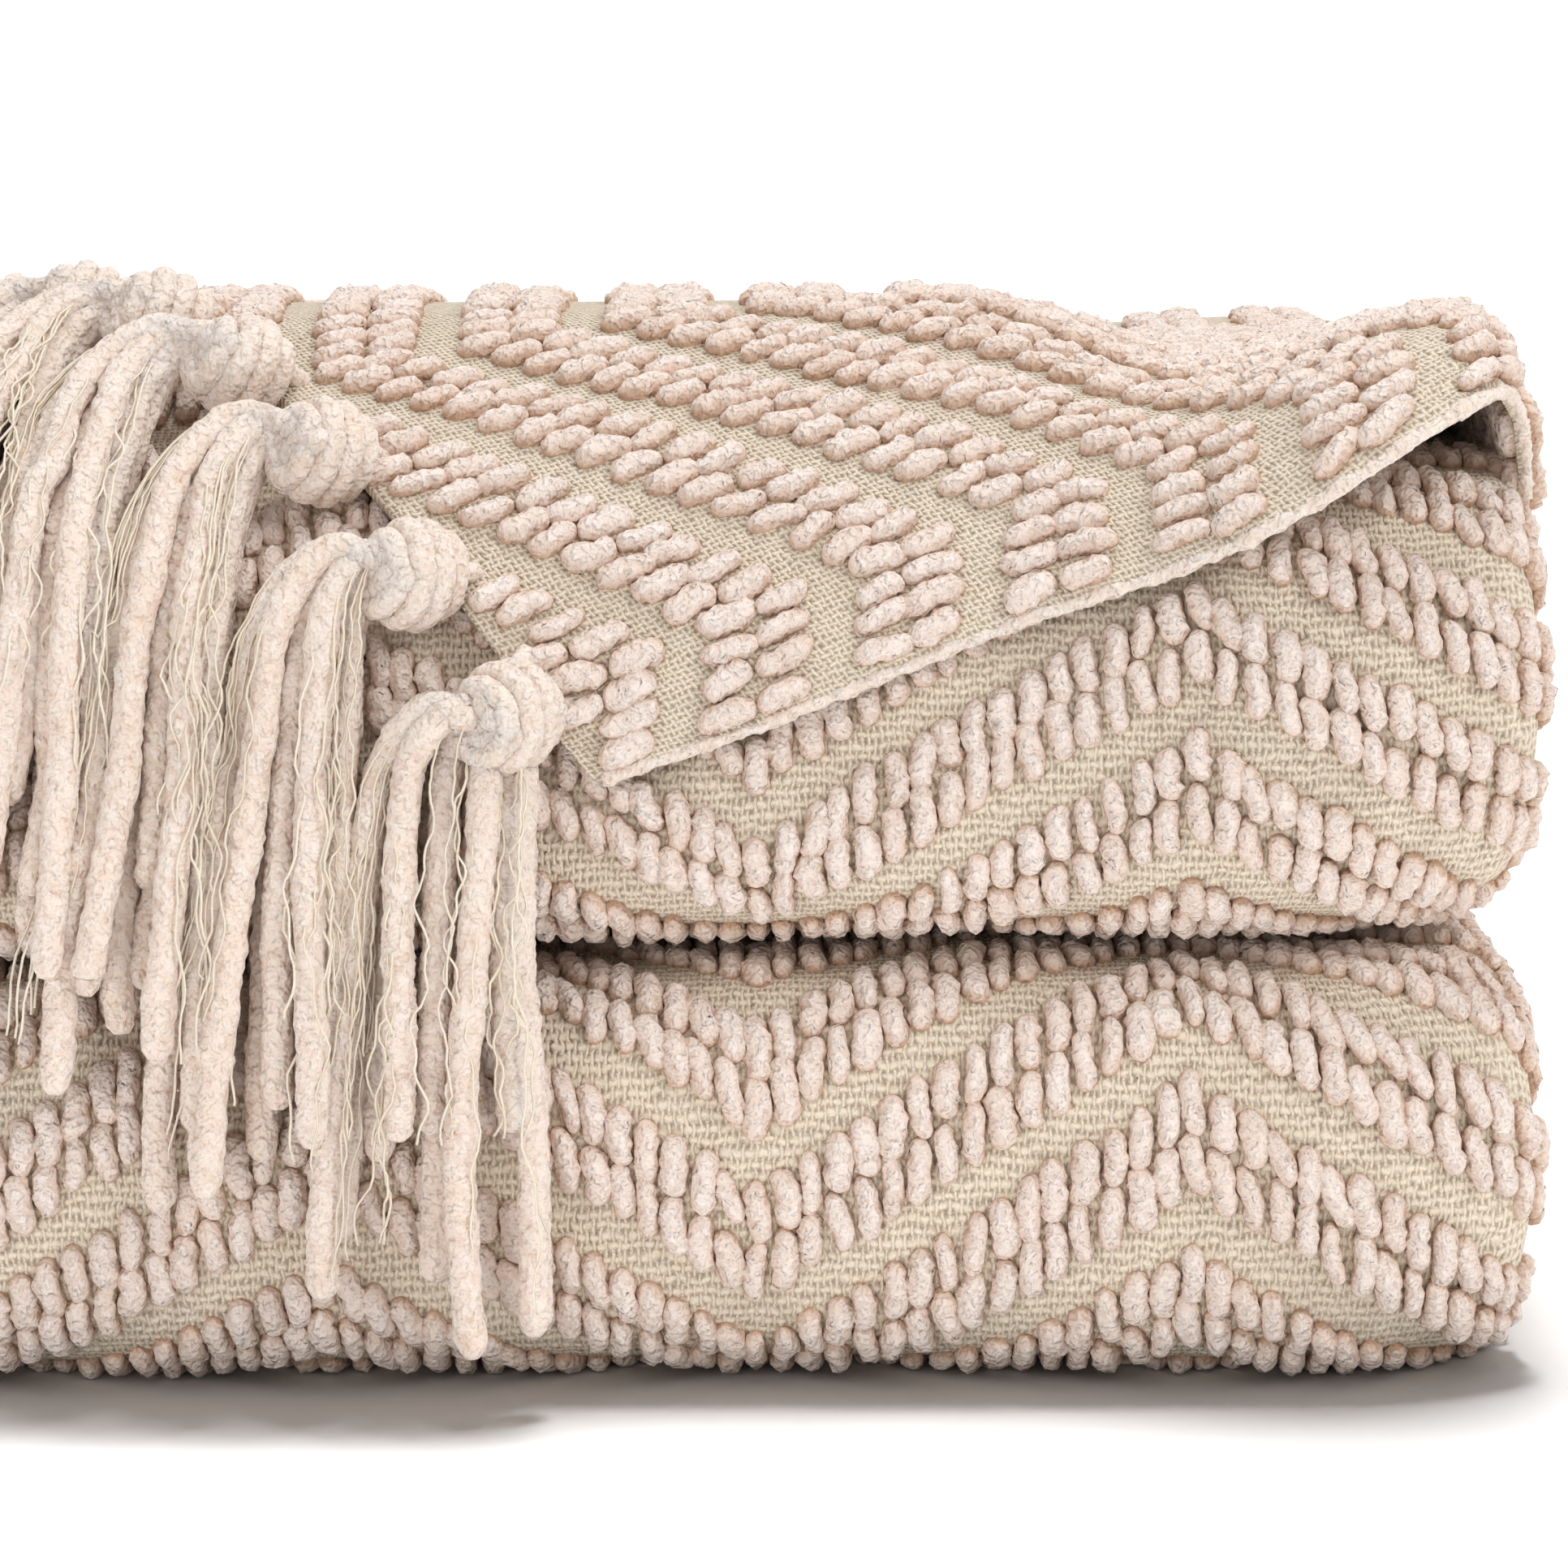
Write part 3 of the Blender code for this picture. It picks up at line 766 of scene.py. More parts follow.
def front_floats(front):
    """Floats on the outer layer of the front turns, the end rims and the parts of the runs that show."""
    rows = []
    lower_middle = front.way_to(1.5)
    upper_middle = front.way_to(5.5)
    halves = table(
        "from to start",
        (0, 3.5, lower_middle + LOWER_PHASE),
        (3.5, LEGS, upper_middle + UPPER_PHASE),
    )
    for column, x, around in front.columns(LEFT_MARGIN):
        rim = around > 0
        down = ZIGZAG_STEP * zigzag(column)
        for half in halves:
            low, high = front.way_to(half["from"]) + END_MARGIN, front.way_to(half["to"]) - END_MARGIN
            for s in band_ways(half["start"] - down, FRONT_REPEATS):
                inside = min(s - front.way_to(2), front.way_to(5) - s)
                bottom = front.way_to(1) - s
                if not low < s < high or not rim and inside > GAP_DEPTH:
                    continue
                if not rim and bottom > BOTTOM_DEPTH and x > LEFT_END + BOTTOM_DEPTH:
                    continue
                key = front.key_at(s)
                if key > 5.5 and covered(x, s - upper_middle):
                    continue
                if key > 6 and rim and s - upper_middle > SHOULDER + END_MARGIN:
                    continue
                rows.append((front, x, s, front_quality(x, key, around), arm_lean(column)))
    return rows


def back_floats(back):
    """Floats on the last layer, which is outermost at the back turn."""
    rows = []
    low, high = back.way_to(0) + END_MARGIN, back.way_to(LEGS) - END_MARGIN
    for column, x, around in back.columns(BACK_LEFT_MARGIN):
        for s in band_ways(back.way_to(3.5) - ZIGZAG_STEP * zigzag(column), BACK_REPEATS):
            deep = max(back.way_to(3) - s, s - back.way_to(4))
            if low < s < high and (around > 0 or deep < GAP_DEPTH):
                rows.append((back, x, s, 0, arm_lean(column)))
    return rows


def rim_floats():
    """Floats round the fold of the two inner layers at the left end."""
    left = LeftRim()
    rows = []
    for column in range(-RIM_COLUMNS, RIM_COLUMNS + 1):
        for s in band_ways(-ZIGZAG_STEP * zigzag(column), LEFT_REPEATS):
            if RIM_MARGIN < s < left.lengths[-1] - RIM_MARGIN:
                rows.append((left, column * COLUMN, s, 0, 0.0))
    return rows


def flap_floats():
    """Floats on both faces of the flap, in columns along its selvedge."""
    rows = []
    shown = FlapFace(1)
    under = FlapFace(-1)
    turns = round((FLAP_FIRST_TURN - FLAP_BORDER) / COLUMN)
    for column in range(FLAP_COLUMNS):
        inward = FLAP_BORDER + (column + 0.5) * COLUMN
        for warp in band_ways(-FLAP_STEP * zigzag(column - turns), FLAP_REPEATS):
            along, above = flap_chart(warp, inward)
            if warp < FRINGE_MARGIN or not FLAP_LOWEST < above < FLAP_TOP - FLAP_TOP_MARGIN:
                continue
            left, right = shown_edges(above)
            if not left + FLAP_SIDE_MARGIN < along < right:
                continue
            quality = 2 if above < FLAP_FINE and along > FINE_FROM else 1
            rows.append((shown, inward, warp, quality, FLAP_FLOAT_LEAN))
            if along > ARCH_START + UNDER_FROM and above < UNDER_UP:
                rows.append((under, inward, warp, 1, 0.0))
    return rows


def float_list():
    """Every float: its face, way across, way along, quality (0 plain to 2 fine) and lean."""
    front = PackFace(1, LAYERS[0]["right"])
    back = PackFace(-1, LAYERS[3]["right"])
    return front_floats(front) + back_floats(back) + rim_floats() + flap_floats()


def tube_faces(rings, sides):
    """Quads and two end faces of one tube."""
    i, j = np.meshgrid(np.arange(rings - 1), np.arange(sides), indexing="ij")
    a = (i * sides + j).ravel()
    b = (i * sides + (j + 1) % sides).ravel()
    quads = np.stack((a, a + sides, b + sides, b), axis=1)
    ends = np.array((np.arange(sides), np.arange(sides)[::-1] + (rings - 1) * sides))
    return quads, ends


def repeated(faces, count, size):
    """The same faces for each of count tubes of size points."""
    shift = (np.arange(count) * size)[:, None, None]
    return (faces[None] + shift).reshape(-1, faces.shape[1])


# How the floats differ: lean, shift over the cloth, and length, width and height with their limits
LEAN_VARIES = 0.075
PLACE_VARIES = 0.26
PLACE_ALONG = 1.5
LONG_VARIES = (0.055, 0.85, 1.15)
WIDE_VARIES = (0.1, 0.76, 1.2)
HIGH_VARIES = (0.1, 0.75, 1.22)
FLOAT_REACH = 0.45
FLOAT_KNEE = 0.9
FLOAT_BEND = 0.34
BEND_WAY = 2.6
# Lumps of a float and of a yarn: size, waves along and waves around
FLOAT_LUMPS = ((0.06, 8.5, 1), (0.05, 13.0, -2), (0.05, 5.0, 3), (0.04, 19.0, 4))
YARN_LUMPS = ((0.8, 0.9, 2), (0.7, 1.7, -3), (0.6, 2.6, 4), (0.8, 0.35, 1))
YARN_ROUGH = 0.9
ROUGH_MOST = 0.17
# Painted shade in the red channel of the yarn colours: how much a float's dents darken it and how fast it
# darkens towards its ends, then a yarn's middle level and how much its dips darken it
ROUGH_SHADE = 0.4
CREST_SHADE = 0.3
YARN_SHADE_MIDDLE = 0.92
LUMP_SHADE = 0.1
WAY_SCALE = 10.0
SPLINE_STEPS = 24
# How finely a float is made: places of its rings, degrees around them and roughness
FINE = {
    "rings": (-0.99, -0.92, -0.75, -0.52, -0.27, 0.0, 0.27, 0.52, 0.75, 0.92, 0.99),
    "angles": (0, 30, 60, 92, 135, 180, 225, 268, 300, 330),
    "rough": 0.075,
}
MEDIUM = {
    "rings": (-0.98, -0.8, -0.4, 0.0, 0.4, 0.8, 0.98),
    "angles": (0, 38, 80, 130, 230, 280, 322),
    "rough": 0.06,
}
PLAIN = {"rings": (-0.96, -0.6, 0.6, 0.96), "angles": (0, 50, 95, 180, 265, 310), "rough": 0.03}


def unit(vectors):
    return vectors / np.linalg.norm(vectors, axis=-1, keepdims=True)


def varied(random, count, spread, low, high):
    return (1 + random.normal(0.0, spread, count)).clip(low, high)


def lumpy(rows, way, around, phase):
    """The sum of waves along a way and around it."""
    return sum(size * np.sin(a * way + b * around + phase[i]) for i, (size, a, b) in enumerate(rows))


def float_piece(name, rows, shape, finish, random):
    """One joined mesh of floats, each a soft lumpy body along its own short way over the cloth."""
    count = len(rows)
    lean = np.array([row[4] for row in rows]) + random.normal(0.0, LEAN_VARIES, count)
    long = FLOAT_LENGTH * varied(random, count, *LONG_VARIES)
    wide = FLOAT_WIDE * varied(random, count, *WIDE_VARIES)
    high = FLOAT_HEIGHT * varied(random, count, *HIGH_VARIES)
    plump = np.array([FLAP_PLUMP if isinstance(row[0], FlapFace) else 1.0 for row in rows])
    wide, high = wide * plump, high * (1 + plump) / 2
    shift = random.normal(0.0, PLACE_VARIES, (count, 2))
    places = []
    for k, (face, x, s, _, _) in enumerate(rows):
        x, s = x + shift[k, 0], s + PLACE_ALONG * shift[k, 1]
        reach = FLOAT_REACH * long[k]
        dx, ds = reach * math.sin(lean[k]), reach * math.cos(lean[k])
        ways = ((x - dx, s - ds, 0.0), (x, s, 0.0), (x + dx, s + ds, 0.0), (x, s, 1.0))
        places.append([face.place(a, b, FLOAT_LIFT + lift) for a, b, lift in ways])
    starts, middles, ends, lifts = np.array(places).transpose(1, 0, 2)
    along = unit(ends - starts)
    out = lifts - middles
    out = unit(out - along * (out * along).sum(axis=1, keepdims=True))
    across = np.cross(out, along)
    v = np.array(shape["rings"])
    angles = np.radians(shape["angles"])
    knee = FLOAT_KNEE
    weights = (v * (v - knee) / (2 * knee**2), 1 - v * v / knee**2, v * (v + knee) / (2 * knee**2))
    centres = sum(w[None, :, None] * p[:, None] for w, p in zip(weights, (starts, middles, ends)))
    phase = random.uniform(0, 2 * math.pi, (count, 6))[:, :, None, None]
    bend = FLOAT_BEND * MM * np.sin(BEND_WAY * v[None, :] + phase[:, 4, :, 0])
    centres = centres + across[:, None, :] * bend[..., None]
    profile = (1 - np.abs(v) ** 4) ** 0.5
    vv, aa = v[None, :, None], angles[None, None, :]
    rough = random.normal(0.0, shape["rough"], (count, len(v), len(angles))).clip(-ROUGH_MOST, ROUGH_MOST)
    lumps = 1 + lumpy(FLOAT_LUMPS, vv, aa, phase.swapaxes(0, 1)) + rough
    radius = profile[None, :, None] * lumps * MM
    points = centres[:, :, None, :]
    points = points + across[:, None, None, :] * (radius * np.sin(aa) * wide[:, None, None] / 2)[..., None]
    points = points + out[:, None, None, :] * (radius * np.cos(aa) * high[:, None, None])[..., None]
    points = on_floor(points)
    size = len(v) * len(angles)
    quads, caps = tube_faces(len(v), len(angles))
    colours = np.ones((count, len(v), len(angles), 4))
    # Alpha: share of the way up round the float. Red: painted shade from it, lighter on the crest and darker
    # towards the base, the ends and the dents. Green: a random tint per float. Blue: the way along.
    colours[..., 3] = (np.cos(aa) + 1) / 2
    colours[..., 0] = colours[..., 3] * profile[None, :, None] ** CREST_SHADE + ROUGH_SHADE * rough
    colours[..., 1] = random.uniform(0, 1, count)[:, None, None]
    colours[..., 2] = (vv + 1) / 2 * FLOAT_LENGTH * MM * WAY_SCALE
    faces = [repeated(quads, count, size), repeated(caps, count, size)]
    return mesh_piece(name, points.reshape(-1, 3), faces, finish, colours.reshape(-1, 4))


# --- tassels


def smooth_way(points, count):
    """Points spread evenly along a smooth curve through the given ones."""
    points = np.array([tuple(p) for p in points])
    padded = np.concatenate((2 * points[:1] - points[1:2], points, 2 * points[-1:] - points[-2:-1]))
    t = np.linspace(0, 1, SPLINE_STEPS, endpoint=False)[:, None]
    fine = []
    for i in range(1, len(padded) - 2):
        p0, p1, p2, p3 = padded[i - 1 : i + 3]
        square = (2 * p0 - 5 * p1 + 4 * p2 - p3) * t**2
        cube = (3 * p1 - p0 - 3 * p2 + p3) * t**3
        fine.append(0.5 * (2 * p1 + (p2 - p0) * t + square + cube))
    fine = np.concatenate(fine + [points[-1:]])
    lengths = way_lengths(fine)
    wanted = np.linspace(0, 1, count) * lengths[-1]
    return np.stack([np.interp(wanted, lengths, fine[:, k]) for k in range(3)], axis=1)


def way_lengths(way):
    """How far along the way each of its points lies."""
    return np.concatenate(([0.0], np.cumsum(np.linalg.norm(np.diff(way, axis=0), axis=1))))


def yarn(way, radii, sides, random, lump, tint):
    """One yarn as a lumpy tube along a way: points, quads, ends and colours."""
    count = len(way)
    tangent = unit(np.gradient(way, axis=0))
    normal = np.array((0.0, 0.0, 1.0)) if abs(tangent[0, 2]) < 0.9 else np.array((0.0, 1.0, 0.0))
    normals, others = [], []
    for t in tangent:
        normal = unit(normal - t * normal.dot(t))
        normals.append(normal)
        others.append(np.cross(normal, t))
    angles = np.linspace(0.0, 2 * math.pi, sides, endpoint=False)[None, :]
    phase = random.uniform(0, 2 * math.pi, 5)
    waves = lumpy(YARN_LUMPS, np.arange(count)[:, None], angles, phase)
    wobble = 1 + lump * (waves + random.normal(0.0, YARN_ROUGH, (count, sides)))
    r = np.asarray(radii)[:, None] * wobble
    points = way[:, None, :] + np.array(normals)[:, None, :] * (r * np.cos(angles))[..., None]
    points = points + np.array(others)[:, None, :] * (r * np.sin(angles))[..., None]
    quads, ends = tube_faces(count, sides)
    colours = np.ones((count, sides, 4))
    # Red: painted shade, the yarn darker in its dips and lighter on its bulges. Green: a random tint. Blue:
    # the way along. Alpha: share of the way round.
    colours[..., 0] = YARN_SHADE_MIDDLE + LUMP_SHADE * (wobble - 1) / lump
    colours[..., 1] = tint
    colours[..., 2] = way_lengths(way)[:, None] * WAY_SCALE
    colours[..., 3] = (np.cos(angles) + 1) / 2
    return points.reshape(-1, 3), quads, ends, colours.reshape(-1, 4)


class Bundle:
    """Collects yarns into one mesh."""

    def __init__(self):
        self.points, self.colours = [], []
        self.faces = {}
        self.size = 0

    def add(self, *settings):
        """Makes a yarn from what yarn() takes."""
        points, quads, ends, colours = yarn(*settings)
        for found in (quads, ends):
            self.faces.setdefault(found.shape[1], []).append(found + self.size)
        self.points.append(points)
        self.colours.append(colours)
        self.size += len(points)

    def piece(self, name, finish):
        faces = [np.concatenate(group) for group in self.faces.values()]
        return mesh_piece(name, np.concatenate(self.points), faces, finish, np.concatenate(self.colours))


# The yarn wrapped round a knot, in rows along its axis
WRAP = table("axial radius", (-5.7, 5.6), (-1.9, 7.5), (1.9, 7.5), (5.5, 5.6))
WRAP_YARN = 2.35
WRAP_FROM = -165.0
WRAP_TURN = 345.0
WRAP_CLIMB = 3.2
WRAP_TUCK = 0.3
WRAP_END = 0.1
WRAP_ROUGH = 0.12
WRAP_STEPS = 18
WRAP_RINGS = 60
WRAP_LUMP = 0.035
WRAP_SWELL = 0.05
WRAP_WAVES = 9
KNOT_SHIFT = 2.8
KNOT_LIFT = 2.2
# The knot's axis: shares out of the cloth, into it and along its edge, and what each gains as the knot turns
AXIS_OUT = (0.85, -0.33)
AXIS_INWARD = (-0.35, -0.4)
AXIS_ALONG = (0.25, 0.12)
AXIS_ASIDE = 15.0
TOP_ALONG = 0.9
TOP_INWARD = 0.35
# The short yarns of the cloth's edge that run into a knot
EDGE_YARNS = 4
EDGE_PITCH = 2.6
EDGE_FAN = 1.5
EDGE_ROOT = (9.5, -4.5)
EDGE_IN = 5.0
EDGE_END = 3.0
EDGE_YARN = 1.9
EDGE_LUMP = 0.03
EDGE_RINGS = 14
EDGE_SIDES = 8
STRAND_RADIUS = 2.85
STRAND_LUMP = 0.042
STRAND_SHORTER = (-20.0, 2.0)
STRAND_DRIFT = 3.0
STRAND_SIDE = 5.35
STRAND_BEND = (0.6, 1.7)
STRAND_SWELLS = ((0.045, 23), (0.035, 47))
STRAND_NECK = 0.8
NECK_SPAN = (0.05, 0.15)
# How deep along the knot's axis a yarn passes, and how far apart the yarns are there
ROOT_WAY = ((-5.0, 0.6), (0.0, 0.8), (6.0, 1.1))
ROOT_ACROSS = 4.3
ROOT_UP = 3.4
YARN_ENDS = (0.97, 0.84, 0.5)
FINE_TASSELS = 5
FINE_YARN = (104, 11)
PLAIN_YARN = (56, 8)
# The way of the yarns out of a knot: share of their way aside, way down and share of the knot's height
ARC = table(
    "share down high",
    (0.24, -1.0, 1.0),
    (0.5, -2.0, 0.9),
    (0.74, 1.4, 0.66),
    (0.92, 8.0, 0.3),
    (1.0, 18.0, 0.08),
)
ARC_REACH = 20.0
ARC_LEAST = 9.0
ARC_TOP = 1.5
ARC_LAYER = 2.2
# Yarns under the others that fill the nearest tassels
INNER_YARNS = table("across layer length", (-3.6, 0, 96.0), (2.4, 0, 102.0), (4.4, 1, 88.0))
INNER_TASSELS = 4
HANG_DOWNS = (30.0, 44.0, 58.0, 72.0, 86.0)
FAN_LEFT = 4.5
FAN_END = 5.0
FAN_SPAN = (25.0, 110.0)
DRIFT_SPAN = (10.0, 95.0)
DRIFT_WAVE = 40.0
LOW_KNOT = 2.6
LOW_KNOT_FROM = 4
# The thin threads, a sheaf beside the yarns and loose ones between them: how many there are, where they
# start, and the limits of their layer, length and waviness
SHEAF = {"count": 22, "across": (-9.0, -5.6), "limits": ((0.1, 1.9), (62.0, 98.0), (0.3, 0.8))}
LOOSE = {"count": 16, "across": (-2.6, 2.6, 5.2), "limits": ((1.6, 2.7), (62.0, 102.0), (0.6, 1.5))}
LOOSE_SPREAD = 0.8
THREAD_DRIFT = 1.5
THREAD_ROOT = 3.6
THREAD_RADIUS = 0.27
THREAD_RINGS = 66
THREAD_UP = 4.0
THREAD_SIDES = 3
THREAD_ROUGH = 0.09
THREAD_LUMP = 0.05
# Waves of a thread where it hangs free: size, waves along its length and none around it
THREAD_SIDEWAYS = ((1.0, 23, 0), (0.5, 59, 0))
THREAD_FORWARD = ((0.6, 27, 0), (0.35, 63, 0))
THREAD_PUSH = 0.5
THREAD_LOOSENS = 3
THREAD_HELD = 0.6
# The soft rim of the selvedge
RIM_YARN = 1.25
RIM_BACK = 0.6
RIM_UP = 0.3
RIM_PITCH = 3.0
RIM_RINGS = 260
RIM_SIDES = 9
RIM_LUMP = 0.1
RIM_TINT = 0.3
RIM_WAVES = ((0.14, 90), (0.09, 213))


def knot_lift(number):
    """How high a knot's middle lies over the cloth: lower for the ones at the back."""
    return KNOT_DEEP + KNOT_LIFT - (LOW_KNOT if number >= LOW_KNOT_FROM else 0.0)


def knot_frame(number):
    """Middle of a knot, and the ways into the cloth, along its edge and out of its face."""
    x0, above0 = edge_frame(number)
    lift = knot_lift(number)
    centre = tassel_place(x0, above0, lift)
    inward = tassel_place(x0 + math.cos(FRINGE_LEAN), above0 + math.sin(FRINGE_LEAN), lift) - centre
    along = tassel_place(x0 - math.sin(FRINGE_LEAN), above0 + math.cos(FRINGE_LEAN), lift) - centre
    inward.normalize()
    along = (along - inward * along.dot(inward)).normalized()
    out = inward.cross(along)
    if out.dot(tassel_place(x0, above0, lift + 1) - centre) < 0:
        out = -out
    return centre + inward * KNOT_SHIFT * MM, inward, along, out


def knot_axes(number, inward, along, out):
    """The knot's own ways: its axis, which the yarns leave along, up over it and right."""
    turned = min(1.0, TASSELS[number]["aside"] / AXIS_ASIDE)
    shares = [low + gain * turned for low, gain in (AXIS_OUT, AXIS_INWARD, AXIS_ALONG)]
    axis = (out * shares[0] + inward * shares[1] + along * shares[2]).normalized()
    up = along * TOP_ALONG + inward * TOP_INWARD
    up = (up - axis * up.dot(axis)).normalized()
    right = up.cross(axis)
    return axis, up, -right if right.dot(inward) < 0 else right


def fountain(number, centre, axis, inner, strand):
    """The way of one yarn out of the knot, up and over in an arc, and then down over the front."""
    x0, above0 = edge_frame(number)
    tassel = TASSELS[number]
    layer = strand["layer"]
    middle = STRAND_FIRST_LIFT + STRAND_LAYER * layer
    way = [centre + axis * deep * MM + inner * wide for deep, wide in ROOT_WAY]
    left = 0.5 - strand["across"] / (2 * STRAND_SIDE)
    side = tassel["aside"] - strand["across"] * tassel["spread"] + FAN_LEFT * left
    reach = max(ARC_LEAST, abs(side)) / ARC_REACH
    top = knot_lift(number) + ARC_TOP + ARC_LAYER * layer
    for row in ARC:
        lift = middle + (top - middle) * row["high"]
        way.append(tassel_place(x0 - side * row["share"], above0 + ROOT_RISE - row["down"] * reach, lift))
    for down in HANG_DOWNS + (strand["length"],):
        if down > strand["length"]:
            break
        wave = math.sin(strand["bend"] * down / DRIFT_WAVE + strand["phase"])
        drift = strand["drift"] * blend(*DRIFT_SPAN, down) * wave
        fan = FAN_END * (2 * left - 1) * blend(*FAN_SPAN, down)
        aside = side + tassel["lean"] * down / STRAND_REACH + fan
        way.append(tassel_place(x0 - aside + drift, above0 + ROOT_RISE - down, middle))
    return way


def swaying(across, layer, length, drift, random):
    """A strand that sways in its own way as it hangs."""
    strand = {"across": across, "layer": layer, "length": length, "drift": random.normal(0.0, drift)}
    return dict(strand, bend=random.uniform(*STRAND_BEND), phase=random.uniform(0.0, 6.3))


def tassel_piece(number, yarn_finish, thread_finish, random):
    """A tassel: its wrapped knot and thick yarns in one mesh and its thin threads in another."""
    centre, inward, along, out = knot_frame(number)
    rings, sides = FINE_YARN if number < FINE_TASSELS else PLAIN_YARN
    axis, up, right = knot_axes(number, inward, along, out)
    bundle = Bundle()
    for row in WRAP:
        way = []
        for i in range(WRAP_STEPS + 1):
            share = i / WRAP_STEPS
            turn = math.radians(WRAP_FROM + WRAP_TURN * share)
            radial = right * math.cos(turn) + up * math.sin(turn)
            tuck = 1 + blend(1 - WRAP_END, 1.0, share) - blend(0.0, WRAP_END, share)
            ring = row["radius"] * (1 - WRAP_TUCK * tuck)
            deep = row["axial"] + WRAP_CLIMB * (0.5 - share) + random.normal(0.0, WRAP_ROUGH)
            way.append(centre + (radial * ring + axis * deep) * MM)
        swells = 1 + WRAP_SWELL * np.sin(np.linspace(0, WRAP_WAVES, WRAP_RINGS) + random.uniform(0, 6))
        curve = smooth_way(way, WRAP_RINGS)
        bundle.add(curve, WRAP_YARN * MM * swells, sides, random, WRAP_LUMP, random.uniform())
    for k in range(EDGE_YARNS):
        spot = along * (k - (EDGE_YARNS - 1) / 2) * EDGE_PITCH * MM
        root = centre + inward * EDGE_ROOT[0] * MM + spot * EDGE_FAN + out * EDGE_ROOT[1] * MM
        way = [root, centre + inward * EDGE_IN * MM + spot, centre - axis * EDGE_END * MM]
        curve = smooth_way(way, EDGE_RINGS)
        radii = np.full(EDGE_RINGS, EDGE_YARN * MM)
        bundle.add(curve, radii, EDGE_SIDES, random, EDGE_LUMP, random.uniform())
    for strand in STRANDS + (INNER_YARNS if number < INNER_TASSELS else ()):
        across, layer = strand["across"], strand["layer"]
        inner = (right * (across / STRAND_SIDE) * ROOT_ACROSS + up * (layer - 1) * ROOT_UP) * MM
        length = strand["length"] + random.uniform(*STRAND_SHORTER)
        own = swaying(across, layer, length, STRAND_DRIFT, random)
        curve = smooth_way(fountain(number, centre, axis, inner, own), rings)
        s = np.linspace(0, 1, rings)
        radii = STRAND_RADIUS * np.interp(s, NECK_SPAN, (STRAND_NECK, 1.0))
        swells = sum(size * np.sin(waves * s + random.uniform(0, 6)) for size, waves in STRAND_SWELLS)
        radii = radii * (1 + swells)
        radii[-len(YARN_ENDS) :] *= YARN_ENDS
        bundle.add(curve, radii * MM, sides, random, STRAND_LUMP, random.uniform())
    made = bundle.piece(f"tassel_yarns_{number + 1}", yarn_finish)
    return made, thread_piece(number, centre, axis, right, up, thread_finish, random)


def thread_piece(number, centre, axis, right, up, finish, random):
    """Thin cotton threads: a sheaf along the left of the tassel and loose wavy ones between the yarns."""
    threads = Bundle()
    share = 1 if number < FINE_TASSELS else 2
    sheaf, loose = SHEAF["count"] // share, LOOSE["count"] // share
    s = np.linspace(0, 1, THREAD_RINGS)
    for k in range(sheaf + loose):
        if k < sheaf:
            across = random.uniform(*SHEAF["across"]) / TASSELS[number]["spread"] ** 0.5
        else:
            across = random.choice(LOOSE["across"]) + random.normal(0.0, LOOSE_SPREAD)
        layer, length, wavy = (random.uniform(*pair) for pair in (SHEAF if k < sheaf else LOOSE)["limits"])
        strand = swaying(across, layer, length, THREAD_DRIFT, random)
        inner = (right * across / STRAND_SIDE * THREAD_ROOT + up * random.uniform(0.0, THREAD_UP)) * MM
        curve = smooth_way(fountain(number, centre, axis, inner, strand), THREAD_RINGS)
        free = np.clip(THREAD_LOOSENS * s - THREAD_HELD, 0, 1) * wavy * MM
        wave = random.uniform(0, 6.3, 4)
        curve[:, 0] += lumpy(THREAD_SIDEWAYS, s, 0, wave[:2]) * free
        curve[:, 1] += (lumpy(THREAD_FORWARD, s, 0, wave[2:]) - THREAD_PUSH) * free
        curve += random.normal(0.0, THREAD_ROUGH * MM, curve.shape)
        radii = np.full(THREAD_RINGS, THREAD_RADIUS * MM)
        threads.add(curve, radii, THREAD_SIDES, random, THREAD_LUMP, random.uniform())
    return threads.piece(f"tassel_threads_{number + 1}", finish)


def selvedge_piece(finish, random):
    """The soft rolled rim along the flap's selvedge, from the hanging corner to the top of the arch."""
    way = []
    above = FLAP_LOWEST
    while True:
        _, right = shown_edges(above)
        if right >= arch_length(above - FLAP_CORNER_BELOW) - 1.0:
            break
        way.append(flap_place(right - RIM_BACK, above, RIM_UP))
        above += RIM_PITCH
    waves = sum(size * np.sin(np.linspace(0, turns, RIM_RINGS)) for size, turns in RIM_WAVES)
    rim = Bundle()
    rim.add(smooth_way(way, RIM_RINGS), RIM_YARN * MM * (1 + waves), RIM_SIDES, random, RIM_LUMP, RIM_TINT)
    return rim.piece("selvedge_rim", finish)


# --- materials


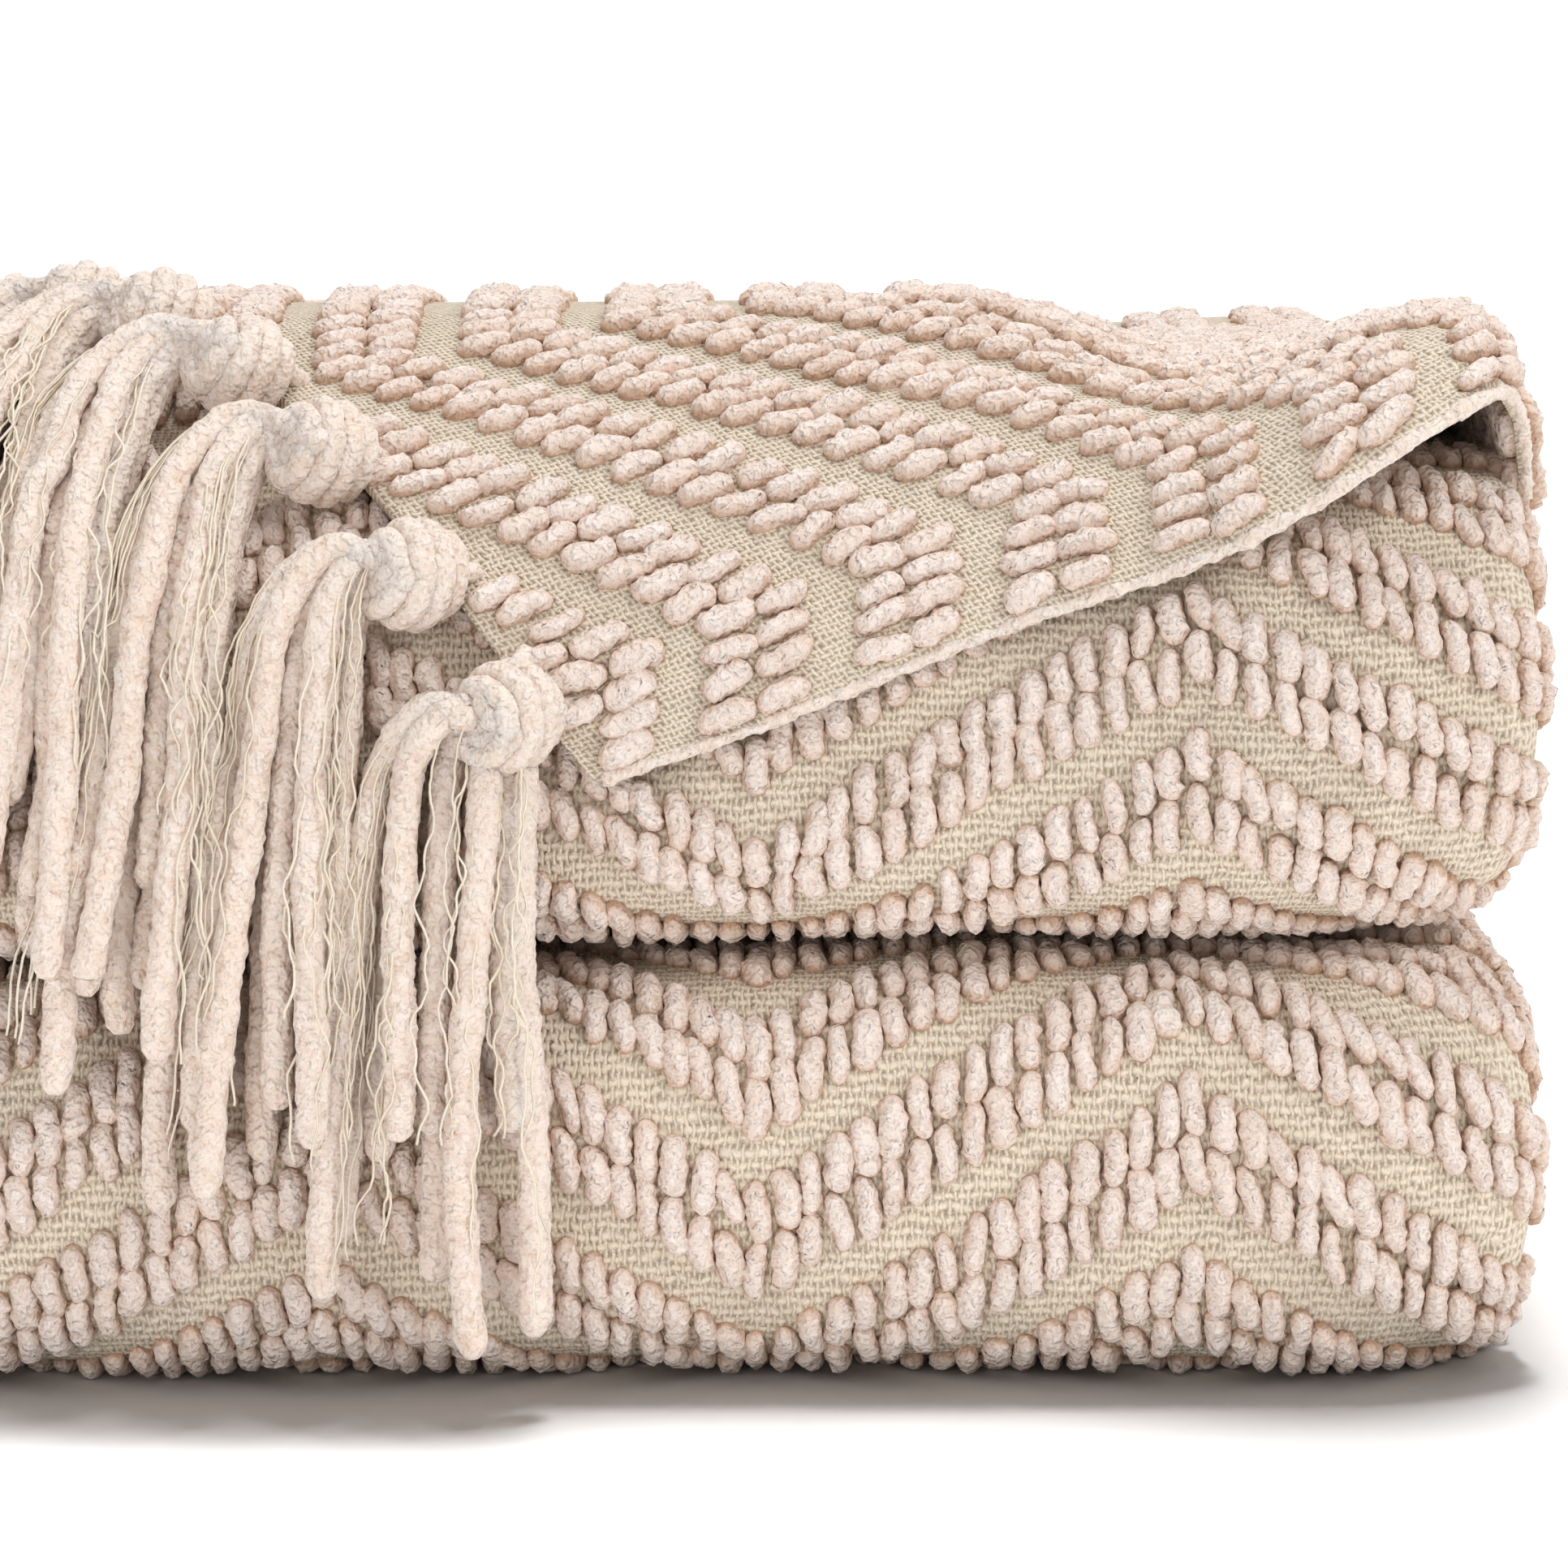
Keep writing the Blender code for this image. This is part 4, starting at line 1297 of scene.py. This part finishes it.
class Nodes:
    """A short way to write a node tree."""

    def __init__(self, name):
        self.material = bpy.data.materials.new(name)
        self.material.use_nodes = True
        self.tree = self.material.node_tree
        self.shader = self.tree.nodes["Principled BSDF"]

    def feed(self, node, inputs):
        """Links or sets each of these inputs."""
        for key, value in inputs.items():
            if isinstance(value, bpy.types.NodeSocket):
                self.tree.links.new(value, node.inputs[key])
            else:
                node.inputs[key].default_value = value

    def node(self, kind, inputs, output=0, **settings):
        """One output of a new node."""
        made = self.tree.nodes.new(kind)
        for key, value in settings.items():
            setattr(made, key, value)
        self.feed(made, inputs)
        return made.outputs[output]

    def place(self):
        return self.node("ShaderNodeTexCoord", {}, "Object")

    def math(self, operation, a, b=0.0, c=0.0):
        return self.node("ShaderNodeMath", {0: a, 1: b, 2: c}, operation=operation)

    def times(self, a, b):
        return self.math("MULTIPLY", a, b)

    def vector(self, operation, a, b):
        return self.node("ShaderNodeVectorMath", {0: a, 1: b}, operation=operation)

    def noise(self, vector, scale, detail=2.0, rough=0.6, output="Fac"):
        inputs = {"Vector": vector, "Scale": scale, "Detail": detail, "Roughness": rough}
        return self.node("ShaderNodeTexNoise", inputs, output)

    def ramp(self, value, low, high):
        return self.node("ShaderNodeMapRange", {"Value": value, "From Min": low, "From Max": high})

    def mix(self, share, first, second):
        return self.node("ShaderNodeMix", {0: share, 6: first, 7: second}, 2, data_type="RGBA")

    def stain(self, colour, value, low, high, share, stain):
        """Another colour laid over this one, by a share where the value has gone from low to high."""
        return self.mix(self.times(self.ramp(value, low, high), share), colour, stain)

    def bump(self, height, strength, distance, **normal):
        inputs = {"Height": height, "Strength": strength, "Distance": distance}
        return self.node("ShaderNodeBump", dict(inputs, **normal))

    def finish(self, colour, normal, roughness, sheen, sheen_tint, inner_light=0.0):
        """The matt material of a fibre, with a soft sheen on its fuzz."""
        inputs = {
            "Base Color": colour,
            "Normal": normal,
            "Roughness": roughness,
            "Sheen Weight": sheen,
            "Sheen Roughness": 0.6,
            "Sheen Tint": sheen_tint,
            "Specular IOR Level": 0.15,
            "Subsurface Weight": inner_light,
            "Subsurface Radius": (1.0, 0.62, 0.42),
            "Subsurface Scale": 0.003,
        }
        self.feed(self.shader, inputs)
        return self.material


def chenille(name, light, dark, deep, inner_light):
    """Pile yarn: painted shade makes it light on its crest and dark beside it and towards its base, with fine
    hair across it and small tufts whose pits are painted darker.
    """
    n = Nodes(name)
    place = n.place()
    yarn_colour = n.node("ShaderNodeVertexColor", {}, layer_name="yarn")
    height, tint, way = n.node("ShaderNodeSeparateColor", {0: yarn_colour}).node.outputs
    ways = (n.times(way, 260.0), n.times(yarn_colour.node.outputs["Alpha"], 4.0))
    hair_way = n.node("ShaderNodeCombineXYZ", {0: ways[0], 1: ways[1], 2: n.times(tint, 50.0)})
    hair = n.noise(hair_way, 1.0, 1.0, 0.5)
    clumps = n.noise(place, 720.0, 1.0, 0.5)
    fuzz = n.noise(place, 1800.0, 1.0, 0.6)
    pile = n.math("MULTIPLY_ADD", hair, 0.22, n.times(clumps, 0.78))
    # Painted shade in the pits of the pile, from mostly the same noises as the relief, together with random
    # fibre tone.
    pit_shade_and_mottle = n.math("MULTIPLY_ADD", fuzz, 0.3, n.times(pile, 0.7))
    # Painted shade: the crest share from the yarn colours, with the pits, runs from the deep colour at the
    # base through the dark one beside the crest to the light one on top; a random tint darkens some floats a
    # little.
    shade_and_tone = n.math("MULTIPLY_ADD", n.math("SUBTRACT", pit_shade_and_mottle, 0.5), 1.05, n.times(height, 0.85))
    shade_and_tone = n.math("SUBTRACT", shade_and_tone, n.times(tint, 0.12))
    body = n.mix(n.ramp(shade_and_tone, 0.05, 0.48), deep, dark)
    body = n.mix(n.ramp(shade_and_tone, 0.34, 0.88), body, light)
    body = n.stain(body, n.noise(place, 45.0, 2.0, 0.5), 0.45, 0.75, 0.12, dark)
    relief = n.bump(fuzz, 0.5, 0.0004, Normal=n.bump(clumps, 1.0, 0.0017))
    return n.finish(body, relief, 0.95, 0.12, (1.0, 0.92, 0.87, 1.0), inner_light)


def plain_weave(name):
    """The ground: an open plain weave of cream cotton, drawn in the cloth's own warp and weft, with painted
    shade in the holes between threads, at the sides of each thread and where a thread passes under another.
    """
    n = Nodes(name)
    place = n.place()
    wander = n.vector("SUBTRACT", n.noise(place, 300.0, 2.0, 0.5, "Color"), (0.5, 0.5, 0.5))
    wander = n.vector("MULTIPLY", wander, (0.0016, 0.0016, 0.0))
    way = n.vector("ADD", n.node("ShaderNodeUVMap", {}, uv_map="weave"), wander)
    way = n.vector("MULTIPLY", way, (930.0, 930.0, 1.0))
    x, y, _ = n.node("ShaderNodeSeparateXYZ", {0: way}).node.outputs
    across, along = (n.math("ABSOLUTE", n.math("SINE", n.times(a, math.pi))) for a in (x, y))
    # Painted shade: each thread is darker where it passes under the other.
    over = n.math("MODULO", n.math("ADD", n.math("FLOOR", x), n.math("FLOOR", y)), 2.0)
    over = n.math("ABSOLUTE", over)
    warp = n.times(across, n.math("MULTIPLY_ADD", over, 0.32, 0.68))
    weft = n.times(along, n.math("MULTIPLY_ADD", over, -0.32, 1.0))
    gaps = n.ramp(n.noise(place, 520.0), 0.5, 0.68)
    pick = n.math("SUBTRACT", n.math("MAXIMUM", warp, weft), n.times(gaps, 0.22))
    fuzz = n.noise(place, 2600.0)
    # Painted shade: dark in the holes between threads, some widened at random, and at each thread's sides,
    # light on the thread tops; pick also drives the bump below.
    colour = n.mix(n.ramp(pick, 0.35, 0.85), (0.58, 0.45, 0.32, 1), (0.88, 0.775, 0.62, 1))
    colour = n.stain(colour, fuzz, 0.5, 0.68, 0.7, (0.92, 0.87, 0.76, 1))
    colour = n.stain(colour, fuzz, 0.46, 0.3, 0.45, (0.62, 0.49, 0.36, 1))
    colour = n.stain(colour, n.noise(place, 60.0, 2.0, 0.5), 0.4, 0.7, 0.2, (0.7, 0.57, 0.43, 1))
    relief = n.bump(fuzz, 0.4, 0.0003, Normal=n.bump(pick, 0.9, 0.0007))
    return n.finish(colour, relief, 0.9, 0.2, (1.0, 0.96, 0.92, 1.0))


def cotton(name):
    """Thin twisted cotton thread, cream to beige-brown from one thread to the next."""
    n = Nodes(name)
    yarn_colour = n.node("ShaderNodeVertexColor", {}, layer_name="yarn")
    tint = n.node("ShaderNodeSeparateColor", {0: yarn_colour}, 1)
    twist = n.noise(n.place(), 1800.0)
    colour = n.mix(n.ramp(twist, 0.35, 0.65), (0.93, 0.82, 0.66, 1), (0.98, 0.94, 0.84, 1))
    colour = n.mix(n.times(tint, 0.4), colour, (0.86, 0.7, 0.52, 1))
    return n.finish(colour, n.bump(twist, 0.6, 0.0003), 0.8, 0.15, (1.0, 0.95, 0.88, 1.0))


def floor_finish():
    """Pale matt paper with a faint grain."""
    n = Nodes("floor_paper")
    colour = n.mix(n.noise(n.place(), 300.0, 2.0, 0.5), (0.8, 0.8, 0.8, 1), (0.83, 0.83, 0.83, 1))
    n.feed(n.shader, {"Base Color": colour, "Roughness": 0.9, "Specular IOR Level": 0.1})
    return n.material


# --- scene


SEED = 31
# Light colour of the pile, the dark and deep colours of its painted shade beside the crest and towards the
# base (the dark one also in faint random patches), and how much light passes inside it
FLOAT_PILE = ((0.94, 0.835, 0.775, 1), (0.77, 0.565, 0.44, 1), (0.54, 0.33, 0.22, 1), 0.0)
FRINGE_PILE = ((0.95, 0.82, 0.74, 1), (0.87, 0.69, 0.565, 1), (0.68, 0.45, 0.31, 1), 0.25)
FLOAT_SETS = table(
    "name quality shape most",
    ("front_floats", 2, FINE, 780),
    ("other_floats", 1, MEDIUM, 1700),
    ("inner_floats", 0, PLAIN, 2600),
)


def make_object():
    random = np.random.default_rng(SEED)
    ground = plain_weave("woven_ground")
    floats = chenille("chenille_floats", *FLOAT_PILE)
    fringe = chenille("chenille_fringe", *FRINGE_PILE)
    thread = cotton("cotton_thread")
    pack = pack_sheet()
    flap = flap_sheet()
    points = np.concatenate((pack[0], flap[0]))
    quads = np.concatenate((pack[1], flap[1] + len(pack[0])))
    cloth = mesh_piece("throw_cloth", points, [quads], ground, None, np.concatenate((pack[2], flap[2])))
    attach(cloth, "root")
    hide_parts("throw")
    rows = float_list()
    made = []
    for row in FLOAT_SETS:
        chosen = [spot for spot in rows if spot[3] == row["quality"]]
        for k in range(0, len(chosen), row["most"]):
            part = chosen[k : k + row["most"]]
            name = f"{row['name']}_{k // row['most'] + 1}"
            made.append(float_piece(name, part, row["shape"], floats, random))
    made.append(selvedge_piece(fringe, random))
    for piece in made:
        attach(piece, "root")
    tassels = []
    for number in range(len(TASSELS)):
        yarns, threads = tassel_piece(number, fringe, thread, random)
        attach(yarns, "root")
        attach(threads, "root")
        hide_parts(f"tassel_{number + 1}")
        tassels += [yarns, threads]


FLOOR_FRONT = -2.5
BACKDROP_Y = 1.2
BACKDROP_CURVE = 0.8
BACKDROP_STEPS = 12
BACKDROP_TOP = 3.0
STAGE_HALF = 4.0


def make_stage():
    """A pale floor and a backdrop that curves up behind it."""
    finish = floor_finish()
    rows = [(BACKDROP_Y, 0.0)]
    for i in range(1, BACKDROP_STEPS + 1):
        angle = math.pi / 2 * i / BACKDROP_STEPS
        rows.append((BACKDROP_Y + BACKDROP_CURVE * math.sin(angle), BACKDROP_CURVE * (1 - math.cos(angle))))
    rows.append((BACKDROP_Y + BACKDROP_CURVE, BACKDROP_TOP))
    for name, profile in (("floor", [(FLOOR_FRONT, 0.0), (BACKDROP_Y, 0.0)]), ("backdrop", rows)):
        points = np.array([(x, y, z) for y, z in profile for x in (-STAGE_HALF, STAGE_HALF)])
        mesh_piece(name, points, [grid_faces(len(profile), 2, 0, True)], finish)


# Soft square lights: place, what each aims at, side, watts and colour. Each leaves out a stage piece or
# lights it alone, so that the shade under the stack stays dark.
MIDDLE = (0.0, 0.0, 0.1)
OVERHEAD = (0.1, 0.1, 2.2)
WHITE = (1.0, 1.0, 1.0)
LIGHTS = table(
    "name place target size power colour stage state",
    ("key", (1.15, -0.95, 1.25), MIDDLE, 0.9, 14.5, (1.0, 0.995, 0.985), "floor", "EXCLUDE"),
    ("fill", (-0.9, -1.5, 0.35), (-0.08, -0.15, 0.06), 1.0, 6.6, (1.0, 0.99, 0.98), "floor", "EXCLUDE"),
    ("top", OVERHEAD, MIDDLE, 1.3, 23.5, WHITE, "floor", "EXCLUDE"),
    ("floor_light", OVERHEAD, MIDDLE, 0.6, 70.0, WHITE, "floor", "INCLUDE"),
    ("backdrop_light", (0.0, 0.4, 2.2), (0.0, 1.9, 0.5), 1.5, 60.0, WHITE, "backdrop", "INCLUDE"),
)
WORLD_COLOUR = (1.0, 0.995, 0.99, 1.0)
WORLD_POWER = 0.29
SENSOR = 36.0
LENS = 106.9
CAMERA_PLACE = (0.0347, -0.9384, 0.2432)
CAMERA_DOWN = 9.8


def make_lights():
    for row in LIGHTS:
        data = bpy.data.lights.new(row["name"], "AREA")
        data.shape = "RECTANGLE"
        data.size = data.size_y = row["size"]
        data.energy = row["power"]
        data.color = row["colour"]
        lamp = bpy.data.objects.new(row["name"], data)
        lamp.location = row["place"]
        aim = Vector(row["target"]) - Vector(row["place"])
        lamp.rotation_euler = aim.to_track_quat("-Z", "Y").to_euler()
        bpy.context.scene.collection.objects.link(lamp)
        reach = bpy.data.collections.new(row["name"] + "_reach")
        reach.objects.link(bpy.data.objects[row["stage"]])
        reach.collection_objects[0].light_linking.link_state = row["state"]
        lamp.light_linking.receiver_collection = reach
    world = bpy.data.worlds.new("studio")
    world.use_nodes = True
    background = world.node_tree.nodes["Background"]
    background.inputs["Color"].default_value = WORLD_COLOUR
    background.inputs["Strength"].default_value = WORLD_POWER
    bpy.context.scene.world = world
    bpy.context.scene.view_settings.view_transform = "Standard"


def make_camera():
    data = bpy.data.cameras.new("camera")
    data.sensor_width = SENSOR
    data.lens = LENS
    camera = bpy.data.objects.new("camera", data)
    camera.location = CAMERA_PLACE
    camera.rotation_euler = (math.radians(90.0 - CAMERA_DOWN), 0.0, 0.0)
    bpy.context.scene.collection.objects.link(camera)
    bpy.context.scene.camera = camera


make_object()
make_stage()
make_lights()
make_camera()
